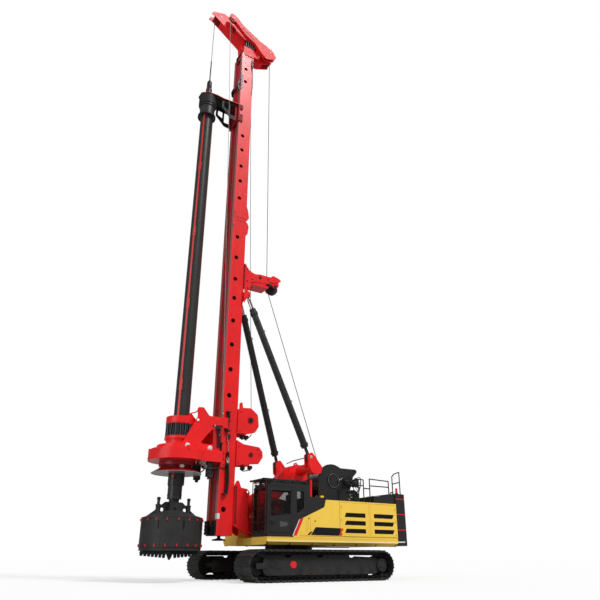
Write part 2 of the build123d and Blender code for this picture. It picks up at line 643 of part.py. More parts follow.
def cab_guard():
    """Bars before the front window and over the front of the roof, and the rails of the roof behind."""
    t = GUARD_BAR
    front = CAB_FRONT + 45
    top = CAB_HIGH + 45
    sides = (BAY_INNER + 20, HOUSE_HALF - 45)
    uprights = (sides[0], 1120.0, sides[1])
    bars = []
    for y in uprights:
        bars.append(block(front, front + t, y, y + t, CAB_LOW + 60, top))
    for z in (CAB_LOW + 60, 1800, 2250, 2700, top - t):
        for a, b in zip(uprights, uprights[1:]):
            bars.append(block(front, front + t, a + t + SEAT, b - SEAT, z, z + t))
    for y in sides:
        for z in (CAB_LOW + 80, 2700):
            bars.append(block(CAB_FRONT + SEAT, front - SEAT, y, y + t, z, z + t))
        bars.append(block(900, front - SEAT, y, y + t, top - t, top))
        for x in (920, 1500):
            bars.append(block(x, x + t, y, y + t, CAB_HIGH + SEAT, top - t - SEAT))
    for x in (900, 1150, 1400, 1650):
        bars.append(block(x, x + t, sides[0] + t + SEAT, sides[1] - SEAT, top - t, top))
    return bars + roof_rails()


def cab():
    w = CAB_WALL
    save("cab_shell", cab_walls())

    pane_in = 14.0
    y0 = PANE_INNER
    y1 = PANE_OUTER
    front = CAB_FRONT - pane_in - GLASS
    glass = [plate(QUARTER_PANE, HOUSE_HALF - pane_in - GLASS, HOUSE_HALF - pane_in),
             plate(RIGHT_PANE, BAY_INNER + pane_in, BAY_INNER + pane_in + GLASS),
             block(front, front + GLASS, y0, y1, FRONT_PANE[0], FRONT_PANE[1]),
             block(CAB_REAR + pane_in, CAB_REAR + pane_in + GLASS, y0, y1, REAR_PANE[0], REAR_PANE[1])]
    save("cab_glass", glass)

    g = DOOR_GAP
    door = block(DOOR_REAR + SEAT, DOOR_FRONT - g, HOUSE_HALF - w, HOUSE_HALF, DOOR_BOTTOM + g,
                 DOOR_TOP - g)
    door -= plate(DOOR_PANE, HOUSE_HALF - w - 1, HOUSE_HALF + 1)
    handle = block(1560, 1700, HOUSE_HALF, HOUSE_HALF + 22, 1800, 1835)
    save("cab_door", fuse(door, handle, *hinge_barrels(DOOR_REAR, 1, 1, (1600, 2840))))
    save("cab_door_glass", plate(DOOR_PANE, HOUSE_HALF - 30, HOUSE_HALF - 30 + GLASS))
    save("guard_and_rails", cab_guard())

    seat = fuse(block(760, 1240, 900, 1400, 1800, 1920), block(680, 800, 900, 1400, 1880, 2560),
                block(800, 1160, 960, 1340, CAB_LOW + w, 1810))
    console = fuse(block(1500, 1640, 800, 1060, CAB_LOW + w, 2160),
                   block(1440, 1560, 760, 1090, 2140, 2330))
    save("cab_seat", seat, console)


def winch_and_rails():
    base = HOUSE_HIGH
    wx = WINCH_X
    wz = WINCH_Z
    outline = [(-925, base + 60), (-925, 3480), (-955, 3650), (-1035, 3810), (-1165, 3940), (-1330, 4025),
               (-1510, 4060),
               (-1700, 4050), (-1850, 4000), (-1975, 3940), (-2680, 3940), (-2770, 3915), (-2785, 3860),
               (-2750, 3800),
               (-2590, 3650), (-2520, 3400), (-2400, 3100), (-2400, base + 60)]
    half = WINCH_HALF
    sides = both_sides(plate(outline, half - WINCH_PLATE, half))
    foot = block(-2820, -930, -half - 60, half + 60, base, base + 61)
    brace = block(-2560, -2500, -half + 5, half - 5, base + 50, 3150)
    tank = plate([(-2390, base + 50), (-2390, 3040, 40), (-2600, 3170, 60), (-2750, 3070, 60),
                  (-2810, 2920, 60),
                  (-2810, base + 50)], half - 260, half + 40)
    shaft = bar_y(wx, wz, DRUM_BORE - PIN_RUN, -half, half)
    motors = fuse(bar_y(-2560, 3400, 150, half - 2, half + 170),
                  bar_y(-2180, 3440, 125, half - 2, half + 140),
                  block(-2380, -2240, half - 2, half + 90, 3330, 3520))
    disc = bar_y(wx, wz, 270, half - 2, half + 30)
    chest = block(-2390, -1850, half - 2, half + 45, base + 50, 3150)
    save("main_winch_frame", fuse(foot, sides[0], sides[1], brace, tank, shaft, motors, disc, chest))
    inner = half - WINCH_PLATE - RUN
    drum = fuse(bar_y(wx, wz, DRUM_R, -inner, inner), bar_y(wx, wz, DRUM_FLANGE_R, -inner, -inner + 35),
                bar_y(wx, wz, DRUM_FLANGE_R, inner - 35, inner))
    save("main_drum", drum - bar_y(wx, wz, DRUM_BORE, -inner - 1, inner + 1))

    # Low covers on the roof, rising to the counterweight, and the exhaust
    top = HOUSE_HIGH
    rear = -TAIL + WEIGHT_THICK + RUN
    outline = [(-2830, top + SEAT), (-2830, 2820), (-3290, 2870), (-3310, 2900), (-3760, 2985),
               (rear, 3005),
               (rear, top + SEAT)]
    covers = plate(outline, -HOUSE_HALF + 60, HOUSE_HALF - 60)
    exhaust = fuse(bar_z(-3100, -850, 110, top + 115, top + 650),
                   bar((-3100, -850, top + 600), (-3300, -850, top + 800), 70))
    save("dark_covers", side_cover(), covers + exhaust)
    save("beacon", bar_z(-TAIL + 225, HOUSE_HALF - 170, 45, WEIGHT_HIGH + SEAT, WEIGHT_HIGH + 230))


def roof_rails():
    """Rails along both edges of the roof, and on the cab's side a rising hoop on the counterweight."""
    r = RAIL_R
    edge = HOUSE_HALF - 120
    floor = HOUSE_HIGH + SEAT
    groups = []
    for y in (edge, -edge):
        groups.append(fuse(bar((-2700, y, floor), (-2700, y, 3500), r),
                           bar((-3650, y, 2968.5), (-3650, y, 3475), r),
                           bar((-2700, y, 3490), (-3650, y, 3460), r),
                           bar((-2700, y, 3240), (-3650, y, 3240), r)))
    groups.append(fuse(bar((-2400, edge, floor), (-2400, edge, 3450), r),
                       bar((-2160, edge, floor), (-2160, edge, 3450), r),
                       bar((-2160, edge, 3440), (-2400, edge, 3440), r),
                       bar((-2160, edge, 3225), (-2400, edge, 3225), r),
                       bar((-2400, edge, 3130), (-2700 + r + SEAT, edge, 3130), r)))
    y = HOUSE_HALF - 170
    front = -TAIL + WEIGHT_THICK - 30
    rear = -TAIL + 35
    floor = WEIGHT_HIGH + SEAT
    groups.append(fuse(bar((front, y, floor), (front, y, 3670), r),
                       bar((front, y, 3665), (front - 120, y, 3775), r),
                       bar((front - 115, y, 3772), (rear, y, 3860), r),
                       bar((rear, y, floor), (rear, y, 3865), r),
                       bar((front, y, 3380), (rear, y, 3470), r)))
    return groups


# Luffing linkage

def eye_bar(a, b, r, y0, y1, pin):
    """A flat bar with a round eye at each end."""
    angle = atan2(b[1] - a[1], b[0] - a[0])
    nx = -sin(angle) * r
    nz = cos(angle) * r
    body = plate([(a[0] + nx, a[1] + nz), (a[0] - nx, a[1] - nz), (b[0] - nx, b[1] - nz),
                  (b[0] + nx, b[1] + nz)], y0, y1)
    whole = fuse(body, bar_y(a[0], a[1], r, y0, y1), bar_y(b[0], b[1], r, y0, y1))
    for centre in (a, b):
        whole -= bar_y(centre[0], centre[1], pin, y0 - 1, y1 + 1)
    return whole


def linkage():
    hole = LINK_PIN_R + PIN_RUN
    a = BOOM_FOOT
    b = BOOM_HEAD
    boom_shape = [(a[0] - 130, a[1] - 140, 120), (a[0] + 500, 1420, 200), (1560, 1430, 200),
                  (b[0] + 110, b[1] - 170, 120),
                  (b[0] + 120, b[1] + 150, 110), (1500, 1960, 100), (1260, 2260, 80), (1060, 2260, 80),
                  (900, 2000, 100),
                  (a[0] - 120, a[1] + 150, 120)]
    arms = []
    for side in (-1, 1):
        low = min(side * LANE_INNER, side * LANE_OUTER)
        arm = plate(boom_shape, low, low + LANE_OUTER - LANE_INNER)
        for centre in (a, b):
            arm -= bar_y(centre[0], centre[1], hole, low - 1, low + 200)
        arms.append(arm)
    tie = bar_y(1330, 1690, 90, -LANE_OUTER + 5, LANE_OUTER - 5)
    eye_pin = bar_y(LUFF_EYE[0], LUFF_EYE[1], LUFF_PIN_R, -LUFF_Y - 90, LUFF_Y + 90)
    save("luff_boom", fuse(arms[0], arms[1], tie, eye_pin))

    struts = []
    for side in (-1, 1):
        low = min(side * (LANE_INNER + 10), side * (LANE_OUTER - 10))
        struts.append(eye_bar(STRUT_FOOT, STRUT_HEAD, 110, low, low + LANE_OUTER - LANE_INNER - 20, hole))
    save("rear_struts", struts)

    # Support frame: a deep middle beam, the head that holds the mast and the torque tube above
    m = MAST_PIN
    d = STRUT_HEAD
    t = TORQUE_TUBE
    beam = plate([(b[0] - 140, b[1] - 170, 100), (b[0] + 150, b[1] - 170, 100),
                  (m[0] + 160, m[1] + 60, 120),
                  (m[0] - 60, m[1] + 240, 120), (1200, 3000, 300), (120, 3900, 150),
                  (t[0], t[1] + 180, 120),
                  (t[0] - 180, t[1] - 60, 120), (t[0] + 60, t[1] - 260, 200), (350, 2900, 300),
                  (d[0] - 160, d[1] - 120, 100),
                  (d[0] + 160, d[1] - 170, 100), (1700, 2150, 200)], -BEAM_HALF, BEAM_HALF)
    pins = fuse(bar_y(b[0], b[1], LINK_PIN_R, -LANE_OUTER, LANE_OUTER),
                bar_y(d[0], d[1], LINK_PIN_R, -LANE_OUTER, LANE_OUTER),
                bar_y(m[0], m[1], 150, -CRADLE_INNER + RUN, CRADLE_INNER - RUN),
                bar_y(m[0], m[1], MAST_PIN_R, -CRADLE_OUTER, CRADLE_OUTER),
                bar_y(t[0], t[1], TORQUE_TUBE_R, -CLEVIS_SPREAD[3], CLEVIS_SPREAD[3]))
    p = (CYL_FOOT[0], CYL_FOOT[2])
    ear = [(p[0] - 50, p[1] + 180, 100), (-650, 3800, 60), (-590, 3590, 50), (-450, 3540, 60),
           (-230, 3555, 60),
           (-40, 3820, 60), (p[0] + 130, p[1] + 110, 90)]
    whole = fuse(beam, pins)
    for y0, y1 in (CLEVIS_SPREAD[0:2], CLEVIS_SPREAD[2:4]):
        for shape in both_sides(plate(ear, y0, y1)):
            whole += shape
    lug = plate([(t[0] - 150, t[1] + 40), (t[0] + 170, t[1] + 40), (t[0] + 60, t[1] + 330, 50),
                 (t[0] - 30, t[1] + 330, 40)], -30, 30)
    lug -= bar_y(t[0] + 14, t[1] + 270, 30, -31, 31)
    whole += lug
    for side in (-1, 1):
        whole += bar_y(p[0], p[1], CYL_PIN_R, min(side * CLEVIS_SPREAD[0], side * CLEVIS_SPREAD[3]),
                       max(side * CLEVIS_SPREAD[0], side * CLEVIS_SPREAD[3]))
    save("support_frame", whole)

    # Luffing cylinders
    e = LUFF_FOOT
    f = LUFF_EYE
    length = hypot(f[0] - e[0], f[1] - e[1])
    ux = (f[0] - e[0]) / length
    uz = (f[1] - e[1]) / length
    barrels = []
    rods = []
    for side in (-1, 1):
        y = side * LUFF_Y

        def at(s):
            return (e[0] + ux * s, y, e[1] + uz * s)

        low = min(side * (BRACKET_OUTER + RUN), side * (LUFF_Y + 95))
        wide = LUFF_Y + 95 - BRACKET_OUTER - RUN
        barrel = fuse(bar_y(e[0], e[1], 95, low, low + wide), bar(at(60), at(1420), LUFF_BARREL_R))
        barrel -= bar(at(300), at(1500), LUFF_ROD_R + PIN_RUN)
        barrel -= bar_y(e[0], e[1], LUFF_PIN_R + PIN_RUN, low - 1, low + wide + 1)
        barrels.append(barrel)
        rod = fuse(bar_y(f[0], f[1], 90, low, low + wide), bar(at(650), at(length - 60), LUFF_ROD_R))
        rod -= bar_y(f[0], f[1], LUFF_PIN_R + LUFF_DRIFT, low - 1, low + wide + 1)
        rods.append(rod)
    save("luff_barrels", barrels)
    save("luff_rods", rods)


# Mast

def mast_box(z0, z1, holes):
    """A length of the mast: a box with walls, guide rails on its front and a row of side holes."""
    outer = block(MAST_BACK, MAST_BOX_FRONT, -MAST_HALF, MAST_HALF, z0, z1)
    outer -= block(MAST_BACK + MAST_WALL, MAST_BOX_FRONT - MAST_WALL, -MAST_HALF + MAST_WALL,
                   MAST_HALF - MAST_WALL,
                   z0 - 1, z1 + 1)
    for side in (-1, 1):
        y0, y1 = sorted((side * RAIL_INNER, side * RAIL_HALF))
        outer += block(RAIL_BACK, RAIL_FRONT, y0, y1, z0, z1)
    for z in holes:
        outer -= bar_y(HOLE_X, z, HOLE_R, -MAST_HALF - 1, MAST_HALF + 1)
    return outer


def mast():
    flange = 90.0
    lower = mast_box(MAST_FOOT, MAST_JOINT, HOLES_LOWER)
    upper = mast_box(MAST_JOINT + SEAT, MAST_TOP, HOLES_UPPER)
    for z0, z1 in ((MAST_FOOT, MAST_FOOT + 40), (MAST_JOINT - flange, MAST_JOINT)):
        lower += block(MAST_BACK, MAST_BOX_FRONT - 1, -MAST_HALF, MAST_HALF, z0, z1)
    upper += block(MAST_BACK, MAST_BOX_FRONT - 1, -MAST_HALF, MAST_HALF, MAST_TOP - 40, MAST_TOP)
    # Hinge lugs of the folding joint on the back of the mast
    for y in (-300, -150, 150, 300):
        low_lug = plate([(MAST_BACK + 1, 13200), (2380, 13350), (2340, 13720, 60), (2420, 13900, 60),
                         (MAST_BACK + 1, 13900)],
                        y - 20, y + 20)
        lower += low_lug
        top_lug = plate([(MAST_BACK + 1, 14000), (2420, 14000, 60), (2340, 14150, 60), (2400, 14500),
                         (MAST_BACK + 1, 14740)],
                        y - 20, y + 20)
        upper += top_lug
    # Lugs for the rods of the mast cylinders
    top = (CYL_EYE[0], CYL_EYE[2])
    lug = [(MAST_BACK + 1, top[1] - 420), (top[0] + 40, top[1] - 110, 60), (top[0] - 95, top[1] - 60, 70),
           (top[0] - 60, top[1] + 100, 70), (MAST_BACK + 1, top[1] + 260)]
    for y in (CYL_EYE[1] - CYL_LUG_GAP - CYL_LUG, CYL_EYE[1] + CYL_LUG_GAP):
        for shape in both_sides(plate(lug, y, y + CYL_LUG)):
            lower += shape
    for side in (-1, 1):
        reach = CYL_LUG_GAP + CYL_LUG
        y0, y1 = sorted((side * (CYL_EYE[1] - reach), side * (CYL_EYE[1] + reach)))
        lower += bar_y(top[0], top[1], CYL_EYE_PIN_R, y0, y1)
    save("mast_upper", upper)

    m = MAST_PIN
    cradle = [(MAST_BACK - SEAT, 1720), (2110, 1530, 60), (1870, 1370, 60), (1960, 2080, 80),
              (1950, 2580, 60),
              (1890, 2850, 90), (2010, 2950, 60), (2250, 2980, 60), (2380, 3310, 60),
              (MAST_BACK - SEAT, 3080)]
    wings = []
    for side in (-1, 1):
        y0, y1 = sorted((side * CRADLE_INNER, side * CRADLE_OUTER))
        wing = plate(cradle, y0, y1)
        wing -= bar_y(1975, 2855, 45, y0 - 1, y1 + 1)
        wing -= bar_y(m[0], m[1], MAST_PIN_R + PIN_RUN, y0 - 1, y1 + 1)
        wings.append(wing)
    back = block(2440, MAST_BACK - SEAT, -CRADLE_OUTER, CRADLE_OUTER, 1760, 3060)
    save("mast_cradle", fuse(wings[0], wings[1], back))

    foot = [(0, 0), (60, 0), (60, -70), (235, -115), (235, -150), (0, -150)]
    profile = make_face(Polyline(*foot, close=True))
    pad = revolve(Plane.XZ * profile, Axis.Z)
    save("mast_lower", lower, Pos(2820, 0, MAST_FOOT) * pad)


def mast_winches():
    # Auxiliary winch: two D-shaped cheeks; feed winch below it: a stubby box
    back = MAST_BACK - SEAT
    cheek = [(back, 4880), (back, 5760), (2300, 5830, 60), (1950, 5860, 150), (1650, 5640, 160),
             (1600, 5200, 160),
             (1760, 4960, 120), (2050, 4880, 80)]
    y_cheek = 400.0
    parts = both_sides(plate(cheek, y_cheek - 30, y_cheek))
    parts.append(block(back - 40, back, -y_cheek, y_cheek, 4880, 5760))
    aux_shaft = bar_y(1960, 5400, 90 - PIN_RUN, -y_cheek, y_cheek)
    hook = plate([(2440, 5700), (2440, 5980, 30), (2330, 6060, 40), (2290, 5840, 30)], -y_cheek,
                 -y_cheek + 30)
    hooks = both_sides(hook)
    cap = bar_y(1960, 5400, 75, y_cheek - 5, y_cheek + 12)
    upper = fuse(*parts, aux_shaft, cap, *hooks)
    half = y_cheek - 30 - RUN
    save("aux_drum", fuse(bar_y(1960, 5400, 230, -half, half), bar_y(1960, 5400, 300, -half, -half + 25),
                          bar_y(1960, 5400, 300, half - 25, half)) - bar_y(1960, 5400, 90, -half - 1,
                                                                           half + 1))

    cheek = [(back, 3720), (back, 4620), (2200, 4500), (1560, 4450, 60), (1420, 4300), (1400, 4100, 60),
             (1580, 3840, 40),
             (2200, 3780)]
    parts = both_sides(plate(cheek, y_cheek - 30, y_cheek))
    parts.append(block(back - 40, back, -y_cheek, y_cheek, 3720, 4620))
    feed_shaft = bar_y(1900, 4150, 80 - PIN_RUN, -y_cheek, y_cheek)
    cap = bar_y(1900, 4150, 70, y_cheek - 5, y_cheek + 12)
    save("mast_winches", upper, fuse(*parts, feed_shaft, cap))
    save("feed_drum", fuse(bar_y(1900, 4150, 200, -half, half), bar_y(1900, 4150, 262, -half, -half + 25),
                           bar_y(1900, 4150, 262, half - 25, half)) - bar_y(1900, 4150, 80, -half - 1,
                                                                            half + 1))


def mast_head():
    """Two sheave arms on a saddle: the main one on the mast's middle, the auxiliary one on the cab's side."""
    base = MAST_TOP + SEAT
    w = HEAD_HALF
    skin = HEAD_SKIN
    front_x, front_z = FRONT_SHEAVE
    rear_x, rear_z = REAR_SHEAVE
    aux_x, aux_z = AUX_SHEAVE
    arm = [(4640, 25180, 40), (4800, 25215, 30), (4720, 25410, 60), (4100, 25620, 120), (3840, 25500, 80),
           (3560, 25210, 150), (2500, 24830, 200), (1720, 24620, 120), (1300, 24060, 110),
           (1420, 23740, 60),
           (2080, base, 60), (MAST_BACK, base), (MAST_BOX_FRONT, base), (3120, 24090, 100)]
    main = plate(arm, -w, w)
    main -= bar_y(front_x, front_z, SHEAVE_R + 20, -w + skin, w - skin)
    main -= block(front_x, 4900, -w + skin, w - skin, 24900, 25700)
    main -= plate([(1200, 23600), (1200, 24250), (1700, 24700), (2050, 24700), (2050, 23480)], -w + skin,
                  w - skin)
    main -= plate([(2200, base + 40), (2300, 24600), (3500, 25080), (3700, 24850), (3100, 24300),
                   (2900, base + 40)],
                  -w + skin, w - skin)
    a0 = AUX_INNER
    a1 = AUX_OUTER
    side_arm = plate([(3870, 25150, 60), (3990, 25300, 80), (3900, 25440, 60), (3740, 25450, 60),
                      (3460, 25270, 100),
                      (3330, 25110), (2420, 24570, 200), (1910, 24430, 150), (1500, 24240, 120),
                      (1310, 23970, 60),
                      (1380, 23780, 60), (1860, 23560, 100), (2260, 23900, 100), (2500, 24200, 150),
                      (3070, 24500, 200),
                      (3570, 24970, 150)], a0, a1)
    side_arm -= bar_y(aux_x, aux_z, AUX_SHEAVE_R + 20, a0 + skin, a1 - skin)
    side_arm -= block(aux_x, 4100, a0 + skin, a1 - skin, 24900, 25600)
    side_arm -= plate([(1200, 23500), (1200, 24250), (1550, 24600), (1950, 24600), (1950, 23500)],
                      a0 + skin, a1 - skin)
    side_arm -= plate([(2480, 24280), (2760, 24540), (3300, 24860), (3330, 24800), (2970, 24560),
                       (2700, 24390)],
                      a1 - 12, a1 + 1)
    bridge = plate([(2150, 23700), (2300, 24300), (2950, 24420), (3020, 24050), (3050, base + 100),
                    (2200, base + 100)],
                   w - 5, a0 + 5)
    saddle = block(MAST_BACK, MAST_BOX_FRONT, -MAST_HALF, a0 + 5, base, base + 110)
    far_cheek = plate([(2200, base + 60), (2420, 24180, 60), (2900, 24180, 60), (2980, base + 60)],
                      -MAST_HALF, -MAST_HALF + 40)
    tie = block(2420, 2880, -MAST_HALF + 20, -w + 5, base + 100, base + 330)
    rear_lug = plate([(2481, base), (2481, base + 330), (2200, base + 280, 100), (2190, base + 60, 60)],
                     -290, -250)
    pin = SHEAVE_PIN_R - PIN_RUN
    pins = (bar_y(front_x, front_z, pin, -w, w), bar_y(rear_x, rear_z, pin, -w, a1),
            bar_y(aux_x, aux_z, pin, a0, a1))
    save("mast_head", fuse(main, side_arm, saddle, bridge, far_cheek, tie, rear_lug, *pins))
    s = w - skin - RUN
    near = (a0 + skin + RUN, a1 - skin - RUN)
    save("sheave_front", sheave(front_x, front_z, SHEAVE_R, -s, s))
    save("sheave_aux_front", sheave(aux_x, aux_z, AUX_SHEAVE_R, near[0], near[1]))
    save("sheaves_rear", sheave(rear_x, rear_z, SHEAVE_R, -s, s),
         sheave(rear_x, rear_z, AUX_REAR_R, near[0], near[1]))


def sheave(x, z, r, y0, y1):
    """A grooved rope wheel on the Y axis, with a collar to each side."""
    bore = SHEAVE_PIN_R
    mid = (y0 + y1) / 2
    half = min((y1 - y0) / 2, 60.0)
    groove = SHEAVE_GROOVE * r
    shape = make_face(Polyline((bore, -half), (r, -half), (r, -half + 12), (groove, -12), (groove, 12),
                               (r, half - 12),
                               (r, half), (bore, half), close=True))
    wheel = revolve(Plane.XY * shape, Axis.Y)
    collar = bar_y(0, 0, bore + 30, y0 - mid, y1 - mid) - bar_y(0, 0, bore, y0 - mid - 1, y1 - mid + 1)
    return Pos(x, mid, z) * (wheel + collar)


def rope_bracket():
    """Long bracket behind the mast whose sheave leads the main rope from the head to the winch."""
    back = MAST_BACK - SEAT
    x, z = BRACKET_SHEAVE
    cheek = [(back, BRACKET_LOW), (back, 11890), (2380, 11880), (2290, 11690, 60), (2060, 11570),
             (1920, 11545), (1740, 11590),
             (1200, 11590, 60), (1090, 11700, 40), (830, 11640, 60), (670, 11550, 30), (800, 11430),
             (820, 11210, 60),
             (1010, 11120, 60), (1150, 11290, 60), (1590, 11230), (1910, 11200), (2130, 11130, 60),
             (2150, 10820, 80),
             (2220, BRACKET_LOW + 25)]
    inner, outer = BRACKET_CHEEK
    sides = both_sides(plate(cheek, inner, outer))
    base = block(back - 40, back, -outer, outer, BRACKET_LOW, 11890)
    tray = plate([(back - 20, 11150), (2100, 11190), (1280, 11150), (1280, 11070), (2120, 11050),
                  (back - 20, 10950)],
                 -inner - 2, inner + 2)
    tray -= block(1880, 2080, -60, 60, 11000, 11300)
    cross = bar_y(1720, 11430, 60, -inner - 2, inner + 2)
    pin = bar_y(x, z, SHEAVE_PIN_R - PIN_RUN, -inner - 2, inner + 2)
    save("rope_bracket", fuse(sides[0], sides[1], base, tray, cross, pin))
    save("bracket_sheave", sheave(x, z, BRACKET_SHEAVE_R, -inner + RUN, inner - RUN))


def mast_cylinders():
    """The pair of long cylinders that raise and tilt the mast."""
    barrels = []
    for side, name in ((1, "left"), (-1, "right")):
        foot = Vector(CYL_FOOT[0], side * CYL_FOOT[1], CYL_FOOT[2])
        eye = Vector(CYL_EYE[0], side * CYL_EYE[1], CYL_EYE[2])
        length = (eye - foot).length
        along = (eye - foot) * (1 / length)

        def piece(start, end, radius):
            return bar(tuple(foot + along * start), tuple(foot + along * end), radius)

        barrel_end = length - CYL_NECK - CYL_ROD_SHOWN
        barrel = fuse(piece(20, 420, 60), piece(380, barrel_end, CYL_BARREL_R),
                      piece(barrel_end - 240, barrel_end - 120, CYL_BARREL_R + 26),
                      piece(450, 540, CYL_BARREL_R + 24))
        boss_low, boss_high = sorted((side * (CLEVIS_SPREAD[1] + RUN), side * (CLEVIS_SPREAD[2] - RUN)))
        barrel += bar_y(foot.X, foot.Z, 135, boss_low, boss_high)
        barrel -= piece(700, length, CYL_ROD_R + PIN_RUN)
        barrel -= bar_y(foot.X, foot.Z, CYL_PIN_R + PIN_RUN, boss_low - 1, boss_high + 1)
        barrels.append(barrel)
        eye_low, eye_high = sorted((side * (CYL_EYE[1] - 55), side * (CYL_EYE[1] + 55)))
        rod = fuse(piece(1200, length - CYL_NECK, CYL_ROD_R),
                   piece(length - CYL_NECK - 20, length - 90, CYL_NECK_R),
                   bar_y(eye.X, eye.Z, 120, eye_low, eye_high))
        rod -= bar_y(eye.X, eye.Z, CYL_EYE_PIN_R + CYL_DRIFT, eye_low - 60, eye_high + 60)
        save("mast_rod_" + name, rod)
    save("mast_barrels", barrels)


# Rotary drive, guide, Kelly bar and tool

def claws(z0, z1, plate_y):
    """Arms that wrap both guide rails, joined by a plate before the rails."""
    front = RAIL_FRONT + SEAT
    back = RAIL_BACK - RUN
    out = RAIL_HALF + RUN
    parts = [block(front, front + 60, -out - plate_y, out + plate_y, z0, z1)]
    for side in (-1, 1):
        y0, y1 = sorted((side * out, side * (out + plate_y)))
        parts.append(block(back - 60, front + 30, y0, y1, z0, z1))
        y0, y1 = sorted((side * (MAST_HALF + RUN), side * (out + plate_y)))
        parts.append(block(back - 60, back, y0, y1, z0, z1))
    return fuse(*parts)


def rotary_drive():
    wall = 50.0
    side_in = 525.0
    side_out = 575.0
    back_plate = RAIL_FRONT + SEAT
    carriage = fuse(claws(3620, 4160, wall), claws(4960, 5340, wall),
                    block(back_plate, back_plate + 60, -side_out, side_out, 3620, 5340))
    seat = GEAR_HIGH + SEAT
    ear = [(back_plate, seat), (4640, seat, 60), (4640, 4290, 80), (4130, 5260, 100), (4160, 5580, 60),
           (3940, 5600, 60),
           (3700, 5320, 80), (2960, 5340), (2960, 4960), (3290, 4960, 60), (back_plate, 4700)]
    for side in (-1, 1):
        y0, y1 = sorted((side * side_in, side * side_out))
        web = plate(ear, y0, y1)
        web -= plate([(3500, 4330, 40), (4020, 4330, 60), (3500, 4930, 40)], y0 - 1, y1 + 1)
        web -= bar_y(4110, 5130, 60, y0 - 1, y1 + 1)
        carriage += web
    carriage += block(3640, 3700, -side_in, side_in, 5000, 5330)
    save("drive_carriage", carriage)

    x = KELLY_X
    low = fuse(bar_z(x, 0, GEAR_R, GEAR_LOW, GEAR_HIGH - 60),
               block(back_plate + 60 + SEAT, x, -760, 760, GEAR_LOW, GEAR_HIGH - 60),
               bar_z(x, 0, GEAR_R - 60, GEAR_LOW, GEAR_HIGH),
               block(back_plate + 60 + SEAT, x, -740, 740, GEAR_LOW, GEAR_HIGH),
               bar_z(x, 0, 740, GEAR_HIGH - 5, GEAR_HIGH + 140), bar_z(x, 0, 450, GEAR_HIGH, 4450))
    for px, py, turn in around(6, GEAR_R - 60, x, 30):
        if px > x - 600:
            low += Pos(px, py, GEAR_HIGH - 20) * Rot(0, 0, turn) * Box(150, 90, 140)
    for side in (-1, 1):
        slot = sorted((side * (side_in - RUN), side * (side_out + RUN)))
        low -= block(3000, 4660, slot[0], slot[1], GEAR_HIGH, GEAR_HIGH + 200)
    neck = fuse(bar_z(x, 0, 620, 3580, GEAR_LOW + 5), bar_z(x, 0, 500, 3540, 3600))
    skirt_profile = make_face(Polyline((300, 3545), (500, 3545), (CONE_R, CONE_LOW + 18),
                                       (CONE_R, CONE_LOW), (DRIVE_BORE, CONE_LOW),
                                       (DRIVE_BORE, 3545), close=True))
    skirt = Pos(x, 0, 0) * revolve(Plane.XZ * skirt_profile, Axis.Z)
    gear = fuse(low, neck, skirt) - bar_z(x, 0, DRIVE_BORE, 3000, 6000)
    save("rotary_gearbox", gear)

    # Damper: springs between two rings round the Kelly bar
    base = ring_z(x, CAGE_R, DRIVE_BORE, 4450 + SEAT, 4560)
    top = ring_z(x, CAGE_R, DRIVE_BORE, 4990, DRIVE_TOP)
    cage = fuse(base, top, ring_z(x, 400, DRIVE_BORE, 4555, 4995))
    springs = []
    for px, py, turn in around(18, 455, x):
        springs.append(bar_z(px, py, 42, 4550, 5000))
    save("damper_cage", fuse(cage, *springs))

    motors = []
    for side in (-1, 1):
        y = side * 520
        motors.append(fuse(bar_z(3560, y, 130, 3400, GEAR_LOW - SEAT),
                           block(3460, 3660, y - 90, y + 90, 3250, 3420),
                           bar_z(3560, y, 60, 3170, 3260)))
    save("drive_motors", motors)


def kelly_guide():
    """Guide that rides on the mast's rails and holds the top of the Kelly bar."""
    x = KELLY_X
    wall_y = 45.0
    front = RAIL_FRONT + SEAT
    out = RAIL_HALF + RUN + wall_y
    body = fuse(claws(GUIDE_LOW, 19480, wall_y), claws(19820, GUIDE_HIGH, wall_y),
                block(front, front + 60, -out, out, GUIDE_LOW, GUIDE_HIGH))
    web = [(front + 30, GUIDE_LOW), (front + 400, GUIDE_LOW + 20, 60), (3980, 19560, 60),
           (3980, GUIDE_HIGH - 40),
           (front + 30, GUIDE_HIGH - 40)]
    for y0, y1 in ((-340, -305), (305, 340)):
        shape = plate(web, y0, y1)
        shape -= plate([(3300, 19330, 40), (3560, 19330, 40), (3560, 19900, 40), (3300, 19900, 40)], y0 - 1,
                       y1 + 1)
        shape -= plate([(3640, 19520, 40), (3880, 19640, 40), (3880, 19900, 40), (3640, 19900, 40)], y0 - 1,
                       y1 + 1)
        body += shape
    body += level([(front + 30, -out), (front + 30, out), (3900, 400), (4300, 430), (4700, 400),
                   (4950, 180), (4950, -180),
                   (4700, -400), (4300, -430), (3900, -400)], GUIDE_HIGH - 40, GUIDE_HIGH)
    body += ring_z(x, 400, INNER_R + RUN, 19530, GUIDE_HIGH - 20)
    save("kelly_guide", body - bar_z(x, 0, INNER_R + RUN, 19400, 20200))


